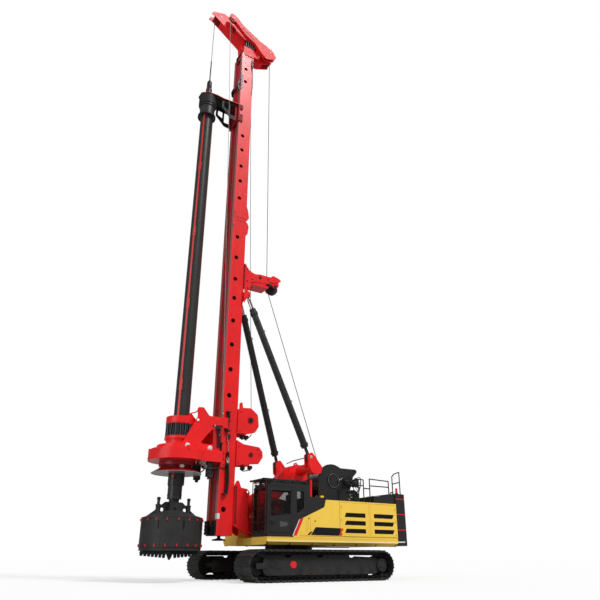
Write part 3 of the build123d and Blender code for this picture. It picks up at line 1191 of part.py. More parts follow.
def kelly():
    """The telescopic Kelly bar: outer tube with driving ribs, inner tube and the swivel for the rope."""
    x = KELLY_X
    kelly_guide()
    tube = bar_z(x, 0, KELLY_R, KELLY_LOW, KELLY_HIGH)
    for px, py, turn in around(3, KELLY_R, x, RIB_START):
        tube += Pos(px, py, (KELLY_LOW + RIB_HIGH) / 2) * Rot(0, 0, turn) * Box(2 * KELLY_RIB, 70,
                                                                                RIB_HIGH - KELLY_LOW)
    tube = fuse(tube, bar_z(x, 0, 360, 18900, 18960), bar_z(x, 0, 330, 18950, 19440),
                bar_z(x, 0, 370, 19440, 19530 - SEAT))
    tube -= bar_z(x, 0, KELLY_BORE, KELLY_LOW - 1, 19600)
    save("kelly_outer", tube)

    inner = fuse(bar_z(x, 0, INNER_R, KELLY_LOW - 60, INNER_HIGH),
                 bar_z(x, 0, INNER_NECK_R, INNER_LOW, KELLY_LOW - SEAT))
    inner -= bar_z(x, 0, INNER_BORE, INNER_LOW + 60, INNER_HIGH + 1)
    save("kelly_inner", inner)
    swivel = fuse(bar_z(x, 0, INNER_R, INNER_HIGH + SEAT, 20200), bar_z(x, 0, 140, 20190, 20560),
                  bar_y(x, 20600, 105, -60, 60), block(x - 60, x + 60, -60, 60, 20500, 20600))
    save("rope_swivel", swivel - bar_y(x, 20620, 40, -61, 61))


def drilling_bucket():
    """Drilling bucket: a slotted wall in staves under a cone, with a hinged bottom that carries the teeth."""
    x = KELLY_X
    z_top = BUCKET_HIGH
    r_in = BUCKET_R - BUCKET_WALL
    hinge_y = -BUCKET_R - 35
    hinge_z = BUCKET_LOW - 25

    wall_high = z_top - BUCKET_WALL
    wall = ring_z(x, BUCKET_R, r_in, BUCKET_LOW, wall_high - SEAT)
    for px, py, turn in around(SLOTS, BUCKET_R, x):
        wall -= Pos(px, py, SLOT_LOW + SLOT_LONG / 2) * Rot(0, 0, turn) * Box(120, SLOT_WIDE, SLOT_LONG)
    for z in (BUCKET_LOW + 30, z_top - 110):
        for px, py, turn in around(2 * STAVES, BUCKET_R, x):
            wall += Pos(px, py, z + 35) * Rot(0, 0, turn) * Box(2 * BUCKET_LUG, 45, 80)
    for low in (-85, 55):
        wall += block(x + low, x + low + 30, hinge_y - 40, -BUCKET_R + 12, BUCKET_LOW + 2, BUCKET_LOW + 140)
        wall += bar_x(hinge_y, hinge_z, 36, x + low, x + low + 30)
        wall += block(x + low, x + low + 30, hinge_y - 36, -BUCKET_R - 6, hinge_z, BUCKET_LOW + 10)
    wall += bar_x(hinge_y, hinge_z, HINGE_PIN_R, x - 85, x + 85)
    for px, py, turn in around(STAVES, BUCKET_R, x, 180 / (2 * STAVES)):
        seam = Box(6 * BUCKET_WALL, SEAT, z_top - BUCKET_LOW + 200)
        wall -= Pos(px, py, (BUCKET_LOW + z_top) / 2) * Rot(0, 0, turn) * seam
    top = make_face(Polyline((BUCKET_R, wall_high), (BUCKET_R, z_top), (330, 2130), (0, 2130),
                             (0, 2130 - BUCKET_WALL),
                             (320, 2130 - BUCKET_WALL), (BUCKET_R - BUCKET_WALL, wall_high), close=True))
    cone = Pos(x, 0, 0) * revolve(Plane.XZ * top, Axis.Z)
    cone += Pos(x, 0, (2110 + HUB_HIGH) / 2) * Box(2 * HUB_HALF, 2 * HUB_HALF, HUB_HIGH - 2110)
    cone += bar_z(x, 0, HUB_NECK_R, HUB_HIGH - 10, INNER_LOW - SEAT)
    gusset = plate([(190, 2112), (190, 2420), (300, 2420, 40), (640, 2140, 150), (880, 1965), (930, 1926),
                    (330, 2112)],
                   -20, 20)
    gusset -= bar_y(400, 2170, 60, -21, 21)
    for turn in (0, 180):
        cone += Pos(x, 0, 0) * Rot(0, 0, turn) * gusset
    for end in (-1, 1):
        rod_x = x + end * PUSH_ROD_X
        cone += bar_z(rod_x, 0, 48, 1960, 2510) + bar_z(rod_x, 0, 82, 1960, 2310) + bar_z(rod_x, 0, 62,
                                                                                          2480, 2530)
    save("bucket_shell", wall, cone)

    # Bottom: a disc with two openings, radial blades under it and cutting teeth on them
    disc = bar_z(x, 0, BUCKET_R - 10, DISC_LOW, BUCKET_LOW - SEAT)
    blade_low = DISC_LOW - BLADE_DEEP
    for side in (-1, 1):
        disc -= level([(x + side * 140, side * 110), (x + side * 920, side * 110),
                       (x + side * 800, side * 450),
                       (x + side * 140, side * 250)], DISC_LOW - 1, BUCKET_LOW + 1)
        y0, y1 = sorted((-side * 20, side * 60))
        x0, x1 = sorted((x + side * 120, x + side * (BUCKET_R - 15)))
        disc += block(x0, x1, y0, y1, blade_low, DISC_LOW + 5)
        for n in range(TEETH):
            reach = 190 + n * (BUCKET_R - 60 - 190) / (TEETH - 1)
            tip = TOOTH_TIP + TOOTH_RISE * reach / BUCKET_R
            tooth = plate([(-45, blade_low + 5), (-60, tip + 45), (-20, tip), (40, blade_low + 5)], -42, 42)
            disc += Pos(x + side * reach, side * 20, 0) * Rot(0, 0, 90 * side) * tooth
    disc += bar_z(x, 0, 130, blade_low, DISC_LOW + 5)
    disc += plate([(x - 100, blade_low + 5), (x - 30, PILOT_TIP + 30), (x, PILOT_TIP),
                   (x + 30, PILOT_TIP + 30),
                   (x + 100, blade_low + 5)], -40, 40)
    knuckle = bar_x(hinge_y, hinge_z, 40, x - 50, x + 50)
    knuckle += block(x - 50, x + 50, hinge_y, -BUCKET_R + 50, hinge_z - 40, hinge_z + 10)
    save("bucket_door", (disc + knuckle) - bar_x(hinge_y, hinge_z, HINGE_PIN_R + PIN_RUN, x - 51, x + 51))


def build():
    undercarriage()
    deck()
    hood()
    cab()
    winch_and_rails()
    linkage()
    mast()
    mast_winches()
    mast_head()
    rope_bracket()
    mast_cylinders()
    rotary_drive()
    kelly()
    drilling_bucket()
    os.makedirs("parts", exist_ok=True)
    for name, shape in PARTS.items():
        export_step(shape, "parts/%s.step" % name)


build()
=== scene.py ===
"""Looks of the rotary piling rig: finishes of every node, and the small things that ride on them.

Everything is in metres in the part's own frame: +X forward, +Y the machine's left, +Z up. The small things
are placed from the slewing axis, and Form.piece moves them from there to the frame's origin.
"""
import json
from math import cos, pi, radians, sin

import bmesh
import bpy
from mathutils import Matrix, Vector


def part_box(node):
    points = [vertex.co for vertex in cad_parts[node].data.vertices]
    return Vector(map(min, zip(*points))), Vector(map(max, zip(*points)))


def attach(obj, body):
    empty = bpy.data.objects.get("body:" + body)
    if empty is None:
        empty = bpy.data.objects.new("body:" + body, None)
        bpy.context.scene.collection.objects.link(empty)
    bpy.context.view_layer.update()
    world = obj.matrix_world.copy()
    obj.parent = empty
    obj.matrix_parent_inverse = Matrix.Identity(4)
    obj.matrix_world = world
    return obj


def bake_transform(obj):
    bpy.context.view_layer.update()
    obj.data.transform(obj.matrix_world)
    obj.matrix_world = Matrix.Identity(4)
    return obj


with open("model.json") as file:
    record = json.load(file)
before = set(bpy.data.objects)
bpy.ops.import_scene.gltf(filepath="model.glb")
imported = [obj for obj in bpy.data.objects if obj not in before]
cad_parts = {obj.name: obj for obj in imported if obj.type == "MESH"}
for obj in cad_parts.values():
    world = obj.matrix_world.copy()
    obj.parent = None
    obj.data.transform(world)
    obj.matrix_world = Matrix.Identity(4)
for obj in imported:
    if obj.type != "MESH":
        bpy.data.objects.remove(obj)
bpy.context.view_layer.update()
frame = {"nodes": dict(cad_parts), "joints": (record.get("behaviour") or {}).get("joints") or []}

# Places read from the frame
JOINTS = {joint["name"]: joint for joint in frame["joints"]}
SLEW_X = JOINTS["slew"]["pos_m"][0]
KELLY_X = JOINTS["kelly_spin"]["pos_m"][0]
KELLY = KELLY_X - SLEW_X                  # the Kelly bar's axis, from the slewing axis
GEAR_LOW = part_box("rotary_gearbox")[0]

# Directions and sides
UP, DOWN = (0, 0, 1), (0, 0, -1)
LEFT, RIGHT = (0, 1, 0), (0, -1, 0)
BOTH = (1, -1)
SIDES = ((1, "left"), (-1, "right"))

# Camera, fitted to the photograph
CAMERA_PLACE = (SLEW_X + 12.050, 19.391, 0.674)
CAMERA_TURN = radians(32.904)
CAMERA_PITCH = radians(24.26)
CAMERA_LENS = 34.515
CAMERA_SENSOR = 36.0

# Light and floor
FLOOR_HALF = 400.0
FLOOR_SHADOW = 0.45                       # how much of the floor's own shading the camera sees
FLOOR_BOUNCE = (0.35, 0.35, 0.35)         # how much light the floor throws back at the machine
WORLD_LIGHT = 0.55
WORLD_GLOSS = 0.16
SUN_STRENGTH = 2.35
SUN_FROM = (-0.22, 0.56, 0.80)
SUN_SOFT = 14.0
FILL_STRENGTH = 0.8
FILL_FROM = (0.9, 0.25, 0.25)
FILL_SOFT = 40.0

# Colours, as linear values
RED = (0.81, 0.014, 0.016)
OIL_RED = (0.40, 0.13, 0.125)
YELLOW = (0.93, 0.605, 0.078)
DARK = (0.022, 0.022, 0.023)
SLOT_BLACK = (0.020, 0.020, 0.021)
WHITE = (1.0, 1.0, 1.0)


def from_slew(x):
    return SLEW_X + x


# Materials

def feed(tree, socket, value):
    """Sets a socket, or links it where the value is a socket itself."""
    if hasattr(value, "is_linked"):
        tree.links.new(value, socket)
    elif socket.type == "RGBA":
        socket.default_value = (*value, 1.0)
    else:
        socket.default_value = value


def node_of(tree, kind, inputs, **values):
    """A new shader node with its own values set and its sockets fed."""
    node = tree.nodes.new(kind)
    for key, value in values.items():
        setattr(node, key, value)
    for socket, value in inputs.items():
        feed(tree, node.inputs[socket], value)
    return node


def object_coords(tree):
    return node_of(tree, "ShaderNodeTexCoord", {}).outputs["Object"]


def noise(tree, coords, scale, detail=3.0, roughness=0.55):
    inputs = {"Vector": coords, "Scale": scale, "Detail": detail, "Roughness": roughness}
    return node_of(tree, "ShaderNodeTexNoise", inputs).outputs["Fac"]


def ramp(tree, value, low, high, out_low=0.0, out_high=1.0):
    inputs = {"Value": value, "From Min": low, "From Max": high, "To Min": out_low, "To Max": out_high}
    return node_of(tree, "ShaderNodeMapRange", inputs).outputs["Result"]


def mixed(tree, share, first, second):
    """A colour between two, by a share; each is a colour or a socket."""
    inputs = {"Factor": share, "A": first, "B": second}
    return node_of(tree, "ShaderNodeMix", inputs, data_type="RGBA").outputs["Result"]


def combine(tree, operation, first, second):
    inputs = {0: first, 1: second}
    return node_of(tree, "ShaderNodeMath", inputs, operation=operation, use_clamp=True).outputs[0]


def shade(colour, share):
    return tuple(channel * share for channel in colour)


class Finish:
    """A procedural finish: a base colour that varies, grime, fine bump and uneven gloss."""

    def __init__(self, name, colour, rough=0.35, metallic=0.0, coat=0.0, vary=0.10, scale=1.2, grime=0.25,
                 grime_colour=(0.06, 0.05, 0.045), grain=60.0, bump=0.0004, shine=0.30):
        self.material = bpy.data.materials.new(name)
        self.material.use_nodes = True
        tree = self.tree = self.material.node_tree
        coords = self.coords = object_coords(tree)
        tone = ramp(tree, noise(tree, coords, scale, 4.0), 0.3, 0.7)
        base = mixed(tree, tone, shade(colour, 1 - vary), shade(colour, 1 + vary))
        spots = noise(tree, coords, scale * 6, 6.0, 0.7)
        self.colour = mixed(tree, ramp(tree, spots, 0.60, 0.82, 0.0, grime), base, grime_colour)
        relief = node_of(tree, "ShaderNodeBump", {"Strength": 0.12, "Distance": bump,
                                                  "Height": noise(tree, coords, grain, 4.0)})
        self.set({"Roughness": ramp(tree, spots, 0.3, 0.75, rough * 0.85, min(1.0, rough * 1.3)),
                  "Normal": relief.outputs["Normal"], "Metallic": metallic, "Specular IOR Level": shine,
                  "Coat Weight": coat, "Coat Roughness": 0.12})

    def set(self, inputs):
        for socket, value in inputs.items():
            feed(self.tree, self.tree.nodes["Principled BSDF"].inputs[socket], value)

    def axis(self, letter):
        """The distance along one of the part's own axes, as a socket."""
        return node_of(self.tree, "ShaderNodeSeparateXYZ", {0: self.coords}).outputs[letter]

    def kelly_radius(self):
        """The level distance from the Kelly bar's axis, as a socket."""
        inputs = {0: self.coords, 1: (1, 1, 0), 2: (-KELLY_X, 0, 0)}
        flat = node_of(self.tree, "ShaderNodeVectorMath", inputs, operation="MULTIPLY_ADD").outputs[0]
        return node_of(self.tree, "ShaderNodeVectorMath", {0: flat}, operation="LENGTH").outputs["Value"]

    def above(self, value, low, high):
        """A share that rises from 0 to 1 between two values of a socket or an axis."""
        return ramp(self.tree, self.axis(value) if isinstance(value, str) else value, low, high)

    def below(self, value, low, high):
        return ramp(self.tree, self.axis(value) if isinstance(value, str) else value, low, high, 1.0, 0.0)

    def paint(self, colour, *shares):
        """Another colour where every share is 1."""
        where = shares[0]
        for share in shares[1:]:
            where = combine(self.tree, "MULTIPLY", where, share)
        self.colour = mixed(self.tree, where, self.colour, colour)
        return self

    def dusty(self, top, strength):
        """Dust that thins out upwards from the ground."""
        height = ramp(self.tree, self.axis("Z"), 0.0, top, strength, 0.0)
        patches = ramp(self.tree, noise(self.tree, self.coords, 3.0, 6.0, 0.65), 0.35, 0.7)
        return self.paint((0.16, 0.14, 0.12), height, patches)

    def waves(self, direction, scale):
        """Even waves along one direction, as a socket."""
        return node_of(self.tree, "ShaderNodeTexWave", {"Vector": self.coords, "Scale": scale},
                       wave_type="BANDS", bands_direction=direction).outputs["Fac"]

    def done(self):
        self.set({"Base Color": self.colour})
        return self.material


RED_PAINT = dict(rough=0.30, coat=0.05, vary=0.06, grime=0.10)
YELLOW_PAINT = dict(rough=0.36, coat=0.05, vary=0.035, grime=0.05, grime_colour=(0.35, 0.22, 0.06))
PLAIN = dict(vary=0.08, grime=0.10)
# One colour all over: the material's name, its colour and how it differs from the usual finish
FINISHES = {
    "red": ("red_paint", RED, RED_PAINT),
    "head": ("head_red", RED, dict(rough=0.42, vary=0.05, grime=0.10, bump=0.0001, shine=0.20)),
    "yellow": ("yellow_paint", YELLOW, YELLOW_PAINT),
    "dark": ("dark_paint", DARK,
             dict(rough=0.42, coat=0.1, vary=0.12, grime=0.2, grime_colour=(0.06, 0.058, 0.055))),
    "black": ("black_paint", (0.012, 0.012, 0.013),
              dict(rough=0.45, vary=0.12, grime=0.2, grime_colour=(0.03, 0.029, 0.028))),
    "iron": ("dark_iron", (0.05, 0.05, 0.052), dict(rough=0.5, metallic=0.6, vary=0.15, grime=0.3)),
    "chrome": ("chrome", (0.72, 0.73, 0.74), dict(rough=0.09, metallic=1.0, vary=0.02, grime=0.04,
                                                  bump=0.001)),
    "steel": ("bare_steel", (0.45, 0.45, 0.46), dict(rough=0.28, metallic=0.9, vary=0.08, grime=0.12)),
    "zinc": ("zinc", (0.62, 0.60, 0.56), dict(rough=0.38, metallic=0.7, vary=0.08, grime=0.1)),
    "hose": ("hose_rubber", (0.014, 0.014, 0.015),
             dict(rough=0.5, vary=0.15, grime_colour=(0.05, 0.047, 0.045), grain=300.0, bump=0.004)),
    "rubber": ("rubber_seal", (0.010, 0.010, 0.011), dict(rough=0.6, grime=0.15)),
    "seam": ("seam", (0.020, 0.019, 0.017), dict(rough=0.5, **PLAIN)),
    "plate_black": ("plate_black", (0.009, 0.009, 0.010), dict(rough=0.35, **PLAIN)),
    "mesh": ("mesh", (0.010, 0.010, 0.011), dict(rough=0.7, **PLAIN)),
    "pin": ("pin", (0.46, 0.43, 0.42), dict(rough=0.35, **PLAIN)),
    "pale": ("pale", (0.66, 0.66, 0.66), dict(rough=0.4, **PLAIN)),
    "deep_red": ("deep_red", (0.28, 0.010, 0.012), dict(rough=0.45, **PLAIN)),
    "channel": ("channel", (0.30, 0.085, 0.082), dict(rough=0.5, **PLAIN)),
    "kick": ("kick", (0.075, 0.076, 0.078), dict(rough=0.4, **PLAIN)),
    "lining": ("lining", (0.035, 0.035, 0.037), dict(rough=0.8, **PLAIN)),
    "cream": ("cream", (0.85, 0.74, 0.42), dict(rough=0.4, **PLAIN)),
    "sleeve": ("sleeve", (0.014, 0.014, 0.015), dict(rough=0.5, **PLAIN)),
    "shade_red": ("shade_red", (0.50, 0.012, 0.014), dict(rough=0.4, **PLAIN)),
    "hatch": ("hatch_black", (0.006, 0.006, 0.006), dict(rough=0.8, grime=0.05, shine=0.03)),
    "white": ("white_paint", (0.80, 0.80, 0.80), dict(vary=0.03, grime=0.05)),
    "grey": ("grey_paint", (0.30, 0.30, 0.31), dict(rough=0.4, vary=0.06, grime=0.1)),
    "stripe_red": ("stripe_red", (0.75, 0.02, 0.022), dict(vary=0.05, grime=0.08)),
    "seat": ("seat_cloth", (0.02, 0.02, 0.022),
             dict(rough=0.85, vary=0.2, scale=12.0, grain=220.0, bump=0.01)),
    "warm": ("amber_lens", (0.85, 0.30, 0.02), dict(rough=0.18, coat=0.6, vary=0.05, grime=0.02)),
}


def painted_finishes():
    """Finishes with a second colour on a part of their node."""
    mast = Finish("mast_red", RED, **RED_PAINT)
    mast.paint(OIL_RED, mast.above("X", from_slew(3.118), from_slew(3.124)))
    mast.paint((0.02, 0.02, 0.021), mast.below("Z", 1.398, 1.399))
    gear = Finish("gearbox_red", RED, rough=0.30, coat=0.05, vary=0.06, grime=0.12)
    # Painted shade: the cone under Z 3.70 is a darker red for the shade that falls under the gearbox
    gear.paint((0.26, 0.008, 0.010), gear.below("Z", 3.70, 3.72))
    gear.paint((0.24, 0.23, 0.23), gear.below("Z", GEAR_LOW.z + 0.017, GEAR_LOW.z + 0.021))
    cage = Finish("damper_red", RED, **RED_PAINT)
    cage.paint((0.016, 0.016, 0.017), cage.above("Z", 4.561, 4.563), cage.below("Z", 4.988, 4.989))
    guide = Finish("guide_black", (0.026, 0.027, 0.026), rough=0.50, grime=0.10, shine=0.12)
    guide.paint((0.30, 0.012, 0.014), guide.below("X", from_slew(3.30), from_slew(3.32)))
    guide.paint(RED, guide.above("Z", 20.030, 20.032))
    door = Finish("door_yellow", YELLOW, **YELLOW_PAINT)
    size_y = node_of(door.tree, "ShaderNodeMath", {0: door.axis("Y")}, operation="ABSOLUTE").outputs[0]
    door.paint(SLOT_BLACK, door.below(size_y, 1.6125, 1.6130))
    under = Finish("undercarriage_paint", shade(DARK, 0.8), rough=0.5, vary=0.15, grime=0.35,
                   grime_colour=(0.07, 0.065, 0.06))
    track = Finish("track_steel", (0.034, 0.034, 0.034), rough=0.55, metallic=0.1, vary=0.2, scale=3.0,
                   grime=0.5, grime_colour=(0.08, 0.07, 0.06), bump=0.006)
    kelly = Finish("kelly_black", (0.033, 0.033, 0.032), rough=0.36, coat=0.2, grime=0.15,
                   grime_colour=(0.07, 0.065, 0.06))
    kelly.paint((0.62, 0.016, 0.018), kelly.above(kelly.kelly_radius(), 0.281, 0.282),
                kelly.above("Z", 3.20, 3.205), kelly.below("Z", 18.88, 18.885))
    bucket = Finish("bucket_black", (0.028, 0.028, 0.028), rough=0.45, vary=0.15, scale=2.0, grime=0.35,
                    grime_colour=(0.075, 0.07, 0.065))
    bucket.paint((0.45, 0.02, 0.02), bucket.above(bucket.kelly_radius(), 1.002, 1.006))
    beacon = Finish("beacon_red", (0.70, 0.02, 0.02), rough=0.15, coat=0.8, vary=0.04, grime=0.02,
                    bump=0.002)
    beacon.paint((0.9, 0.12, 0.08), ramp(beacon.tree, beacon.waves("Z", 20.0), 0.6, 0.9, 0.0, 0.4))
    return {"mast": mast, "gear": gear, "cage": cage, "guide": guide, "door": door,
            "undercarriage": under.dusty(0.9, 0.25), "track": track.dusty(0.6, 0.3), "kelly": kelly,
            "bucket": bucket, "beacon": beacon, "rope": rope_finish("wire_rope", (0.16, 0.155, 0.15)),
            "pale_rope": rope_finish("pale_wire_rope", (0.52, 0.51, 0.50))}


def rope_finish(name, colour):
    """Steel wire rope: slanting strands from a wave along the rope."""
    finish = Finish(name, colour, rough=0.42, metallic=0.7, vary=0.2, scale=6.0, grime=0.3)
    strands = ramp(finish.tree, finish.waves("DIAGONAL", 18.0), 0.35, 0.65, 0.5, 0.0)
    return finish.paint((0.05, 0.05, 0.05), strands)


def glass(name, colour, clear):
    """Tinted glass: partly see-through, with a sharp reflection."""
    material = bpy.data.materials.new(name)
    material.use_nodes = True
    tree = material.node_tree
    dust = ramp(tree, noise(tree, object_coords(tree), 3.0, 6.0), 0.4, 0.8)
    inputs = {"Base Color": mixed(tree, dust, colour, shade(colour, 1.5)),
              "Roughness": ramp(tree, dust, 0.0, 1.0, 0.03, 0.10), "Alpha": 1 - clear, "IOR": 1.5}
    for socket, value in inputs.items():
        feed(tree, tree.nodes["Principled BSDF"].inputs[socket], value)
    return material


MATERIALS = {key: Finish(name, colour, **options).done()
             for key, (name, colour, options) in FINISHES.items()}
MATERIALS.update((key, finish.done()) for key, finish in painted_finishes().items())
MATERIALS["glass"] = glass("window_glass", (0.010, 0.011, 0.012), 0.66)
MATERIALS["lens"] = glass("lamp_lens", (0.85, 0.86, 0.88), 0.75)

NODES_OF = {
    "red": "boom_brackets luff_boom rear_struts support_frame mast_cradle mast_winches rope_bracket"
           " drive_carriage",
    "head": "mast_head",
    "cage": "damper_cage",
    "guide": "kelly_guide",
    "mast": "mast_lower mast_upper",
    "gear": "rotary_gearbox",
    "yellow": "deck engine_hood side_box_left side_box_right",
    "door": "hood_door_left_front hood_door_left_rear hood_door_right_front hood_door_right_rear",
    "dark": "dark_covers counterweight cab_shell cab_door guard_and_rails main_winch_frame mast_barrels"
            " luff_barrels",
    "undercarriage": "car_body side_frame_left side_frame_right wheels_left wheels_right",
    "track": "track_left track_right",
    "kelly": "kelly_outer kelly_inner rope_swivel",
    "bucket": "bucket_shell bucket_door",
    "iron": "engine_block main_drum aux_drum feed_drum sheaves_rear bracket_sheave drive_motors",
    "deep_red": "sheave_front sheave_aux_front",
    "chrome": "mast_rod_left mast_rod_right luff_rods",
    "glass": "cab_glass cab_door_glass",
    "seat": "cab_seat",
    "beacon": "beacon",
}
# Slots by material; piece looks up the slot of a piece that names none, but does not use it
MATERIALS_OF_SLOT = {
    "dark_paint": "dark black rubber hose seam mesh grey white plate_black kick iron hatch undercarriage",
    "red_paint": "red deep_red shade_red channel pale",
    "yellow_paint": "yellow cream",
    "lamp_red": "stripe_red beacon warm",
    "drum_steel": "rope pale_rope steel zinc",
    "kelly_steel": "kelly sleeve",
    "track_steel": "track",
    "seat_cover": "seat lining",
    "window_glass": "lens",
    "rod_chrome": "pin",
}
SLOT_OF = {material: slot for slot, materials in MATERIALS_OF_SLOT.items()
           for material in materials.split()}


def dress_nodes():
    for material, nodes in NODES_OF.items():
        for node in nodes.split():
            data = frame["nodes"][node].data
            data.materials.clear()
            data.materials.append(MATERIALS[material])


# Mesh forms

def smooth_path(points, steps=6):
    """Points on a smooth curve through the given ones."""
    places = [Vector(p) for p in points]
    padded = [2 * places[0] - places[1]] + places + [2 * places[-1] - places[-2]]
    path = []
    for i in range(1, len(padded) - 2):
        a, b, c, d = padded[i - 1:i + 3]
        for step in range(steps):
            t = step / steps
            path.append(0.5 * ((2 * b) + (c - a) * t + (2 * a - 5 * b + 4 * c - d) * t * t
                               + (3 * b - a - 3 * c + d) * t ** 3))
    path.append(places[-1])
    return path


def circle(centre, across, other, r, sides):
    """Points round a centre, in the plane of two directions."""
    turns = [2 * pi * k / sides for k in range(sides)]
    return [centre + r * (cos(turn) * across + sin(turn) * other) for turn in turns]


def frame_of(axis):
    """A unit axis and two directions across it."""
    axis = Vector(axis).normalized()
    across = axis.orthogonal().normalized()
    return axis, across, axis.cross(across)


class Form:
    """A mesh put together from simple solids before it becomes one piece."""

    def __init__(self):
        self.mesh = bmesh.new()

    def skin(self, pairs):
        """Faces between pairs of closed rows of vertices."""
        for first, second in pairs:
            for i, corner in enumerate(first):
                j = (i + 1) % len(first)
                self.mesh.faces.new((corner, first[j], second[j], second[i]))

    def vertices(self, rings):
        return [[self.mesh.verts.new(p) for p in ring] for ring in rings]

    def solid(self, rings):
        """A skin through rings of points, with both ends capped."""
        rows = self.vertices(rings)
        self.skin(zip(rows, rows[1:]))
        self.mesh.faces.new(list(reversed(rows[0])))
        self.mesh.faces.new(rows[-1])
        return self

    def box(self, first, second):
        (x0, x1), (y0, y1), (z0, z1) = (sorted(pair) for pair in zip(first, second))
        return self.solid([[(x0, y0, z), (x1, y0, z), (x1, y1, z), (x0, y1, z)] for z in (z0, z1)])

    def boxes(self, *pairs):
        for first, second in pairs:
            self.box(first, second)
        return self

    def plate(self, points, y0, y1):
        """An upright plate of a side outline, given as (x, z)."""
        return self.solid([[(x, y, z) for x, z in points] for y in sorted((y0, y1))])

    def tube(self, path, r, sides=8):
        """A round tube along a path; r is one radius or one for each point."""
        places = [Vector(p) for p in path]
        sizes = r if isinstance(r, (list, tuple)) else [r] * len(places)
        along = (places[1] - places[0]).normalized()
        across = along.orthogonal().normalized()
        rings = []
        for i, place in enumerate(places):
            before = places[max(i - 1, 0)]
            after = places[min(i + 1, len(places) - 1)]
            turned = (after - before).normalized()
            across = (along.rotation_difference(turned) @ across).normalized()
            along = turned
            rings.append(circle(place, across, along.cross(across), sizes[i], sides))
        return self.solid(rings)

    def hoses(self, r, *paths):
        """Smooth tubes through given points."""
        for path in paths:
            self.tube(smooth_path(path), r)
        return self

    def turned(self, centre, axis, profile, sides=24):
        """A turned form: profile gives (distance along the axis, radius)."""
        axis, across, other = frame_of(axis)
        return self.solid([circle(Vector(centre) + along * axis, across, other, max(r, 1e-4), sides)
                           for along, r in profile])

    def ring(self, centre, axis, r_in, r_out, low, high, sides=32):
        """A ring of square section round an axis."""
        axis, across, other = frame_of(axis)
        rows = self.vertices(circle(Vector(centre) + along * axis, across, other, r, sides)
                             for along, r in ((low, r_in), (low, r_out), (high, r_out), (high, r_in)))
        self.skin(zip(rows, rows[1:] + rows[:1]))
        return self

    def bolt(self, place, axis, r=0.016, high=0.012):
        """A hexagon head on a washer."""
        self.turned(place, axis, [(0, r * 1.35), (high * 0.3, r * 1.35)], 12)
        start = Vector(place) + Vector(axis).normalized() * high * 0.3
        return self.turned(start, axis, [(0, r), (high, r), (high * 1.3, r * 0.8)], 6)

    def bolts(self, places, axis, r=0.016, high=0.012):
        for place in places:
            self.bolt(place, axis, r, high)
        return self

    def side_bolts(self, y, places, r=0.016, high=0.012):
        """Bolts at the same (x, z) on the left face and the right one."""
        for side in BOTH:
            self.bolts([(x, side * y, z) for x, z in places], (0, side, 0), r, high)
        return self

    def ring_of_bolts(self, centre, axis, radius, count, r=0.016, start=0.0):
        axis, across, other = frame_of(axis)
        for n in range(count):
            turn = start + 2 * pi * n / count
            self.bolt(Vector(centre) + radius * (cos(turn) * across + sin(turn) * other), axis, r)
        return self

    def piece(self, name, body, material, slot=None, bevel=0.0, smooth=True):
        data = bpy.data.meshes.new(name)
        bmesh.ops.translate(self.mesh, vec=(SLEW_X, 0, 0), verts=self.mesh.verts)
        bmesh.ops.recalc_face_normals(self.mesh, faces=self.mesh.faces)
        self.mesh.to_mesh(data)
        self.mesh.free()
        data.materials.append(MATERIALS[material])
        obj = bpy.data.objects.new(name, data)
        bpy.context.scene.collection.objects.link(obj)
        if bevel:
            edge = obj.modifiers.new("edges", "BEVEL")
            edge.width = bevel
            edge.segments = 2
            edge.limit_method = "ANGLE"
            edge.angle_limit = radians(40)
        if smooth:
            data.shade_smooth()
            data.set_sharp_from_angle(angle=radians(35))
        if body:
            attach(obj, body)
        slot = slot or SLOT_OF.get(material)
        return obj


# Ropes

ROPE_R = 0.014
THIN_ROPE_R = 0.011
GROOVE = 0.8                              # radius of a groove's floor as a share of its sheave's
FRONT_SHEAVE = (4.286, 25.290, 0.300)     # x, z and radius
REAR_SHEAVE = (1.640, 24.090, 0.300)
REAR_THIN = (1.640, 24.090, 0.260)
AUX_SHEAVE = (3.730, 25.200, 0.215)
BRACKET_SHEAVE = (0.970, 11.220, 0.270)
MAIN_DRUM = (-1.620, 3.450, 0.400)
AUX_DRUM = (1.960, 5.400, 0.230)
FEED_DRUM = (1.900, 4.150, 0.200)
NEAR_Y = 0.46                             # middle of the auxiliary sheave arm
SHACKLE_X = 3.16
SHACKLE_Y = 0.50
SWIVEL_Z = 20.62


def arc(sheave, start, end, y=0.0, count=10):
    """Points on a sheave's rope, between two angles in degrees."""
    x, z, r = sheave
    r = r * GROOVE + ROPE_R
    turns = [radians(start + (end - start) * n / count) for n in range(count + 1)]
    return [(x + r * cos(turn), y, z + r * sin(turn)) for turn in turns]


def rope(name, points, body, r=ROPE_R, material="rope"):
    return Form().tube(points, r).piece(name, body, material, "drum_steel")


def winding(name, body, drum, half, r=ROPE_R):
    """Rope wound on a drum, one layer."""
    x, z, drum_r = drum
    steps = 4 * int(half / r)
    profile = [(-half + 2 * half * n / steps, drum_r + r * (1 + 0.9 * sin(pi * (n % 4) / 2 + pi / 4)))
               for n in range(steps + 1)]
    Form().turned((x, 0, z), LEFT, profile, 40).piece(name, body, "rope")


